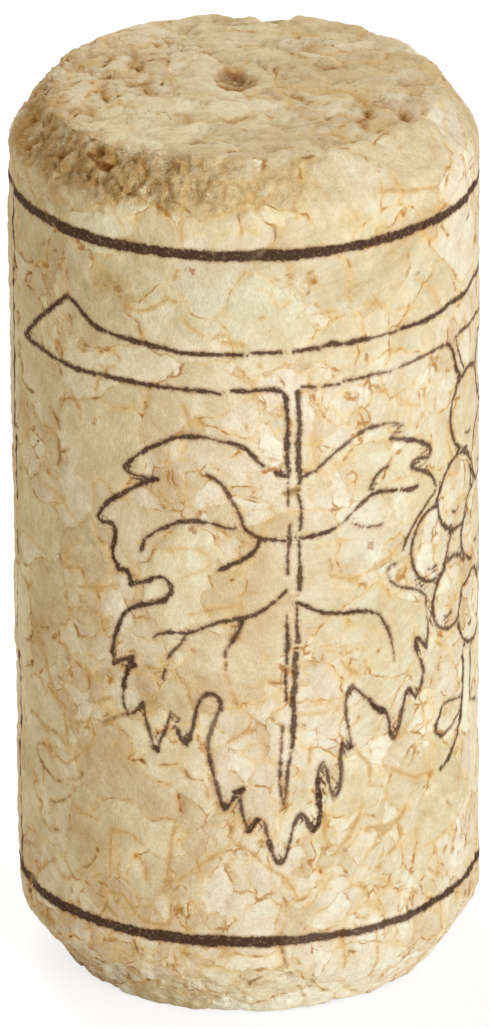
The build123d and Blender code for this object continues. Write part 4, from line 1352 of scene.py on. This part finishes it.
shade.links.new(colour, principled.inputs["Base Color"])

# Only the finest grain is bump: a tenth of a millimetre, and more where the skin is crumbly
height = product(shade, grain, maths(shade, "MULTIPLY_ADD", crumbly, 4.0, 1.6))
bump = add_node(shade, "ShaderNodeBump", {"Strength": 0.8, "Distance": 0.1 * MM, "Height": height})
shade.links.new(bump.outputs[0], principled.inputs["Normal"])
body_mesh.materials.append(finish)

# The skin's flat map: the wall and chamfers unrolled in one strip, and above it the two ends, a little enlarged.
# A triangle that crosses the seam at the back stays whole, at the strip's far side.
map_margin, map_share = 0.002, 0.994
map_size = 2 * math.pi * cork_radius
base_rim = cork_radius - base_chamfer[0]
end_enlarged = 1.26
corners = np.array(triangles)
shares = (bearings[corners] + math.pi) / (2 * math.pi)
crossing = np.ptp(shares, axis=1) > 0.5
shares[crossing] += shares[crossing] < 0.5
unrolled = np.stack([shares, (path[corners] - base_rim) / map_size], axis=2) * map_share + map_margin
outward = np.stack([np.sin(bearings[corners]), -np.cos(bearings[corners])], axis=2)
for end_middle, reach, rim in (((0.18, 0.826), top_reach, top_rim), ((0.54, 0.826), base_reach, base_rim)):
    on_end = reach[corners].mean(1) < rim
    flat = outward * reach[corners][:, :, None] * end_enlarged / map_size + end_middle
    unrolled[on_end] = flat[on_end]
body_mesh.uv_layers.new(name="OFBake").data.foreach_set("uv", unrolled.ravel())

modifier = body.modifiers.new("relief", "NODES")
modifier.node_group = relief
graph = bpy.context.evaluated_depsgraph_get()
body.data = bpy.data.meshes.new_from_object(body.evaluated_get(graph), preserve_all_data_layers=True, depsgraph=graph)
body.modifiers.clear()
body.data.shade_smooth()
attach(body, "root")
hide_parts("cork")

# Camera
# The photo was taken from a little above the cork, with a long lens, and the camera leans by half a degree.
camera_distance = 562.0
camera_height = math.radians(22.89)
camera_roll = math.radians(-0.47)
camera_aim = Vector((-0.043, 0, 22.07))
back = Vector((0, -math.cos(camera_height), math.sin(camera_height)))
rise = Vector((0, math.sin(camera_height), math.cos(camera_height)))
right = Vector((1, 0, 0)) * math.cos(camera_roll) + rise * math.sin(camera_roll)
up = rise * math.cos(camera_roll) - Vector((1, 0, 0)) * math.sin(camera_roll)
lens = bpy.data.cameras.new("camera")
lens.sensor_width = 36
lens.lens = 413.9
lens.clip_start, lens.clip_end = 0.01, 10
camera = bpy.data.objects.new("camera", lens)
place = (camera_aim + back * camera_distance) * MM
camera.matrix_world = Matrix((
    (right.x, up.x, back.x, place.x),
    (right.y, up.y, back.y, place.y),
    (right.z, up.z, back.z, place.z),
    (0, 0, 0, 1),
))
bpy.context.scene.collection.objects.link(camera)
bpy.context.scene.camera = camera
bpy.context.scene.view_settings.view_transform = "Standard"

# Light and floor
# A white studio: an even warm-white dome, one soft lamp to the right of the camera, and a sheet of white paper.
# The paper looks white to the camera and keeps a faint shadow.
world = bpy.data.worlds.new("studio")
bpy.context.scene.world = world
world.use_nodes = True
sky = world.node_tree


def seen_directly(tree):
    """One for rays that show the background: the camera's, and those through gloss or glass."""
    rays = tree.nodes.new("ShaderNodeLightPath").outputs
    through = maths(tree, "MAXIMUM", rays["Is Glossy Ray"], rays["Is Transmission Ray"])
    return maths(tree, "MAXIMUM", rays["Is Camera Ray"], through)


dome_colour, dome_strength = (1.0, 0.935, 0.765, 1.0), 0.48
background = sky.nodes["Background"]
direct = seen_directly(sky)
sky.links.new(mixed(sky, direct, dome_colour, (1.0, 1.0, 1.0, 1.0)), background.inputs["Color"])
strength = add_node(sky, "ShaderNodeMapRange", {0: direct, 3: dome_strength, 4: 1.0}).outputs[0]
sky.links.new(strength, background.inputs["Strength"])

# Each lamp's size, power, colour, distance, bearing and rise: a key at the front right, and a fill behind
lamps = {
    "key": (0.2, 1.25, (0.94, 1.07, 1.38), 0.45, 36, 15),
    "fill": (0.22, 0.92, (0.94, 1.03, 1.2), 0.45, 200, 46),
}
for name, (size, energy, lamp_colour, distance, lamp_bearing, lamp_rise) in lamps.items():
    lamp = bpy.data.lights.new(name, "AREA")
    lamp.shape = "DISK"
    lamp.size, lamp.energy, lamp.color = size, energy, lamp_colour
    away = Matrix.Rotation(math.radians(lamp_bearing), 3, "Z") @ Vector((0, -1, math.tan(math.radians(lamp_rise))))
    away.normalize()
    lamp_object = bpy.data.objects.new(name, lamp)
    lamp_object.location = away * distance + Vector((0, 0, cork_length / 2 * MM))
    lamp_object.rotation_mode = "QUATERNION"
    lamp_object.rotation_quaternion = away.to_track_quat("Z", "Y")
    bpy.context.scene.collection.objects.link(lamp_object)

floor_mesh = bpy.data.meshes.new("floor")
floor_reach = 3.0
floor_corners = [(x * floor_reach, y * floor_reach, 0) for x, y in ((-1, -1), (1, -1), (1, 1), (-1, 1))]
floor_mesh.from_pydata(floor_corners, [], [(0, 1, 2, 3)])
floor = bpy.data.objects.new("floor", floor_mesh)
bpy.context.scene.collection.objects.link(floor)
paper = bpy.data.materials.new("floor")
paper.use_nodes = True
paper_tree = paper.node_tree
paper_finish = paper_tree.nodes["Principled BSDF"]
direct = seen_directly(paper_tree)
paper_colour, shadow_colour = (0.97, 0.97, 0.97, 1.0), (0.3, 0.3, 0.3, 1.0)
paper_glow = 0.78
paper_tree.links.new(mixed(paper_tree, direct, paper_colour, shadow_colour), paper_finish.inputs["Base Color"])
paper_finish.inputs["Emission Color"].default_value = (1.0, 1.0, 1.0, 1.0)
paper_tree.links.new(maths(paper_tree, "MULTIPLY", direct, paper_glow), paper_finish.inputs["Emission Strength"])
paper_finish.inputs["Roughness"].default_value = 1.0
paper_finish.inputs["Specular IOR Level"].default_value = 0.0
floor_mesh.materials.append(paper)
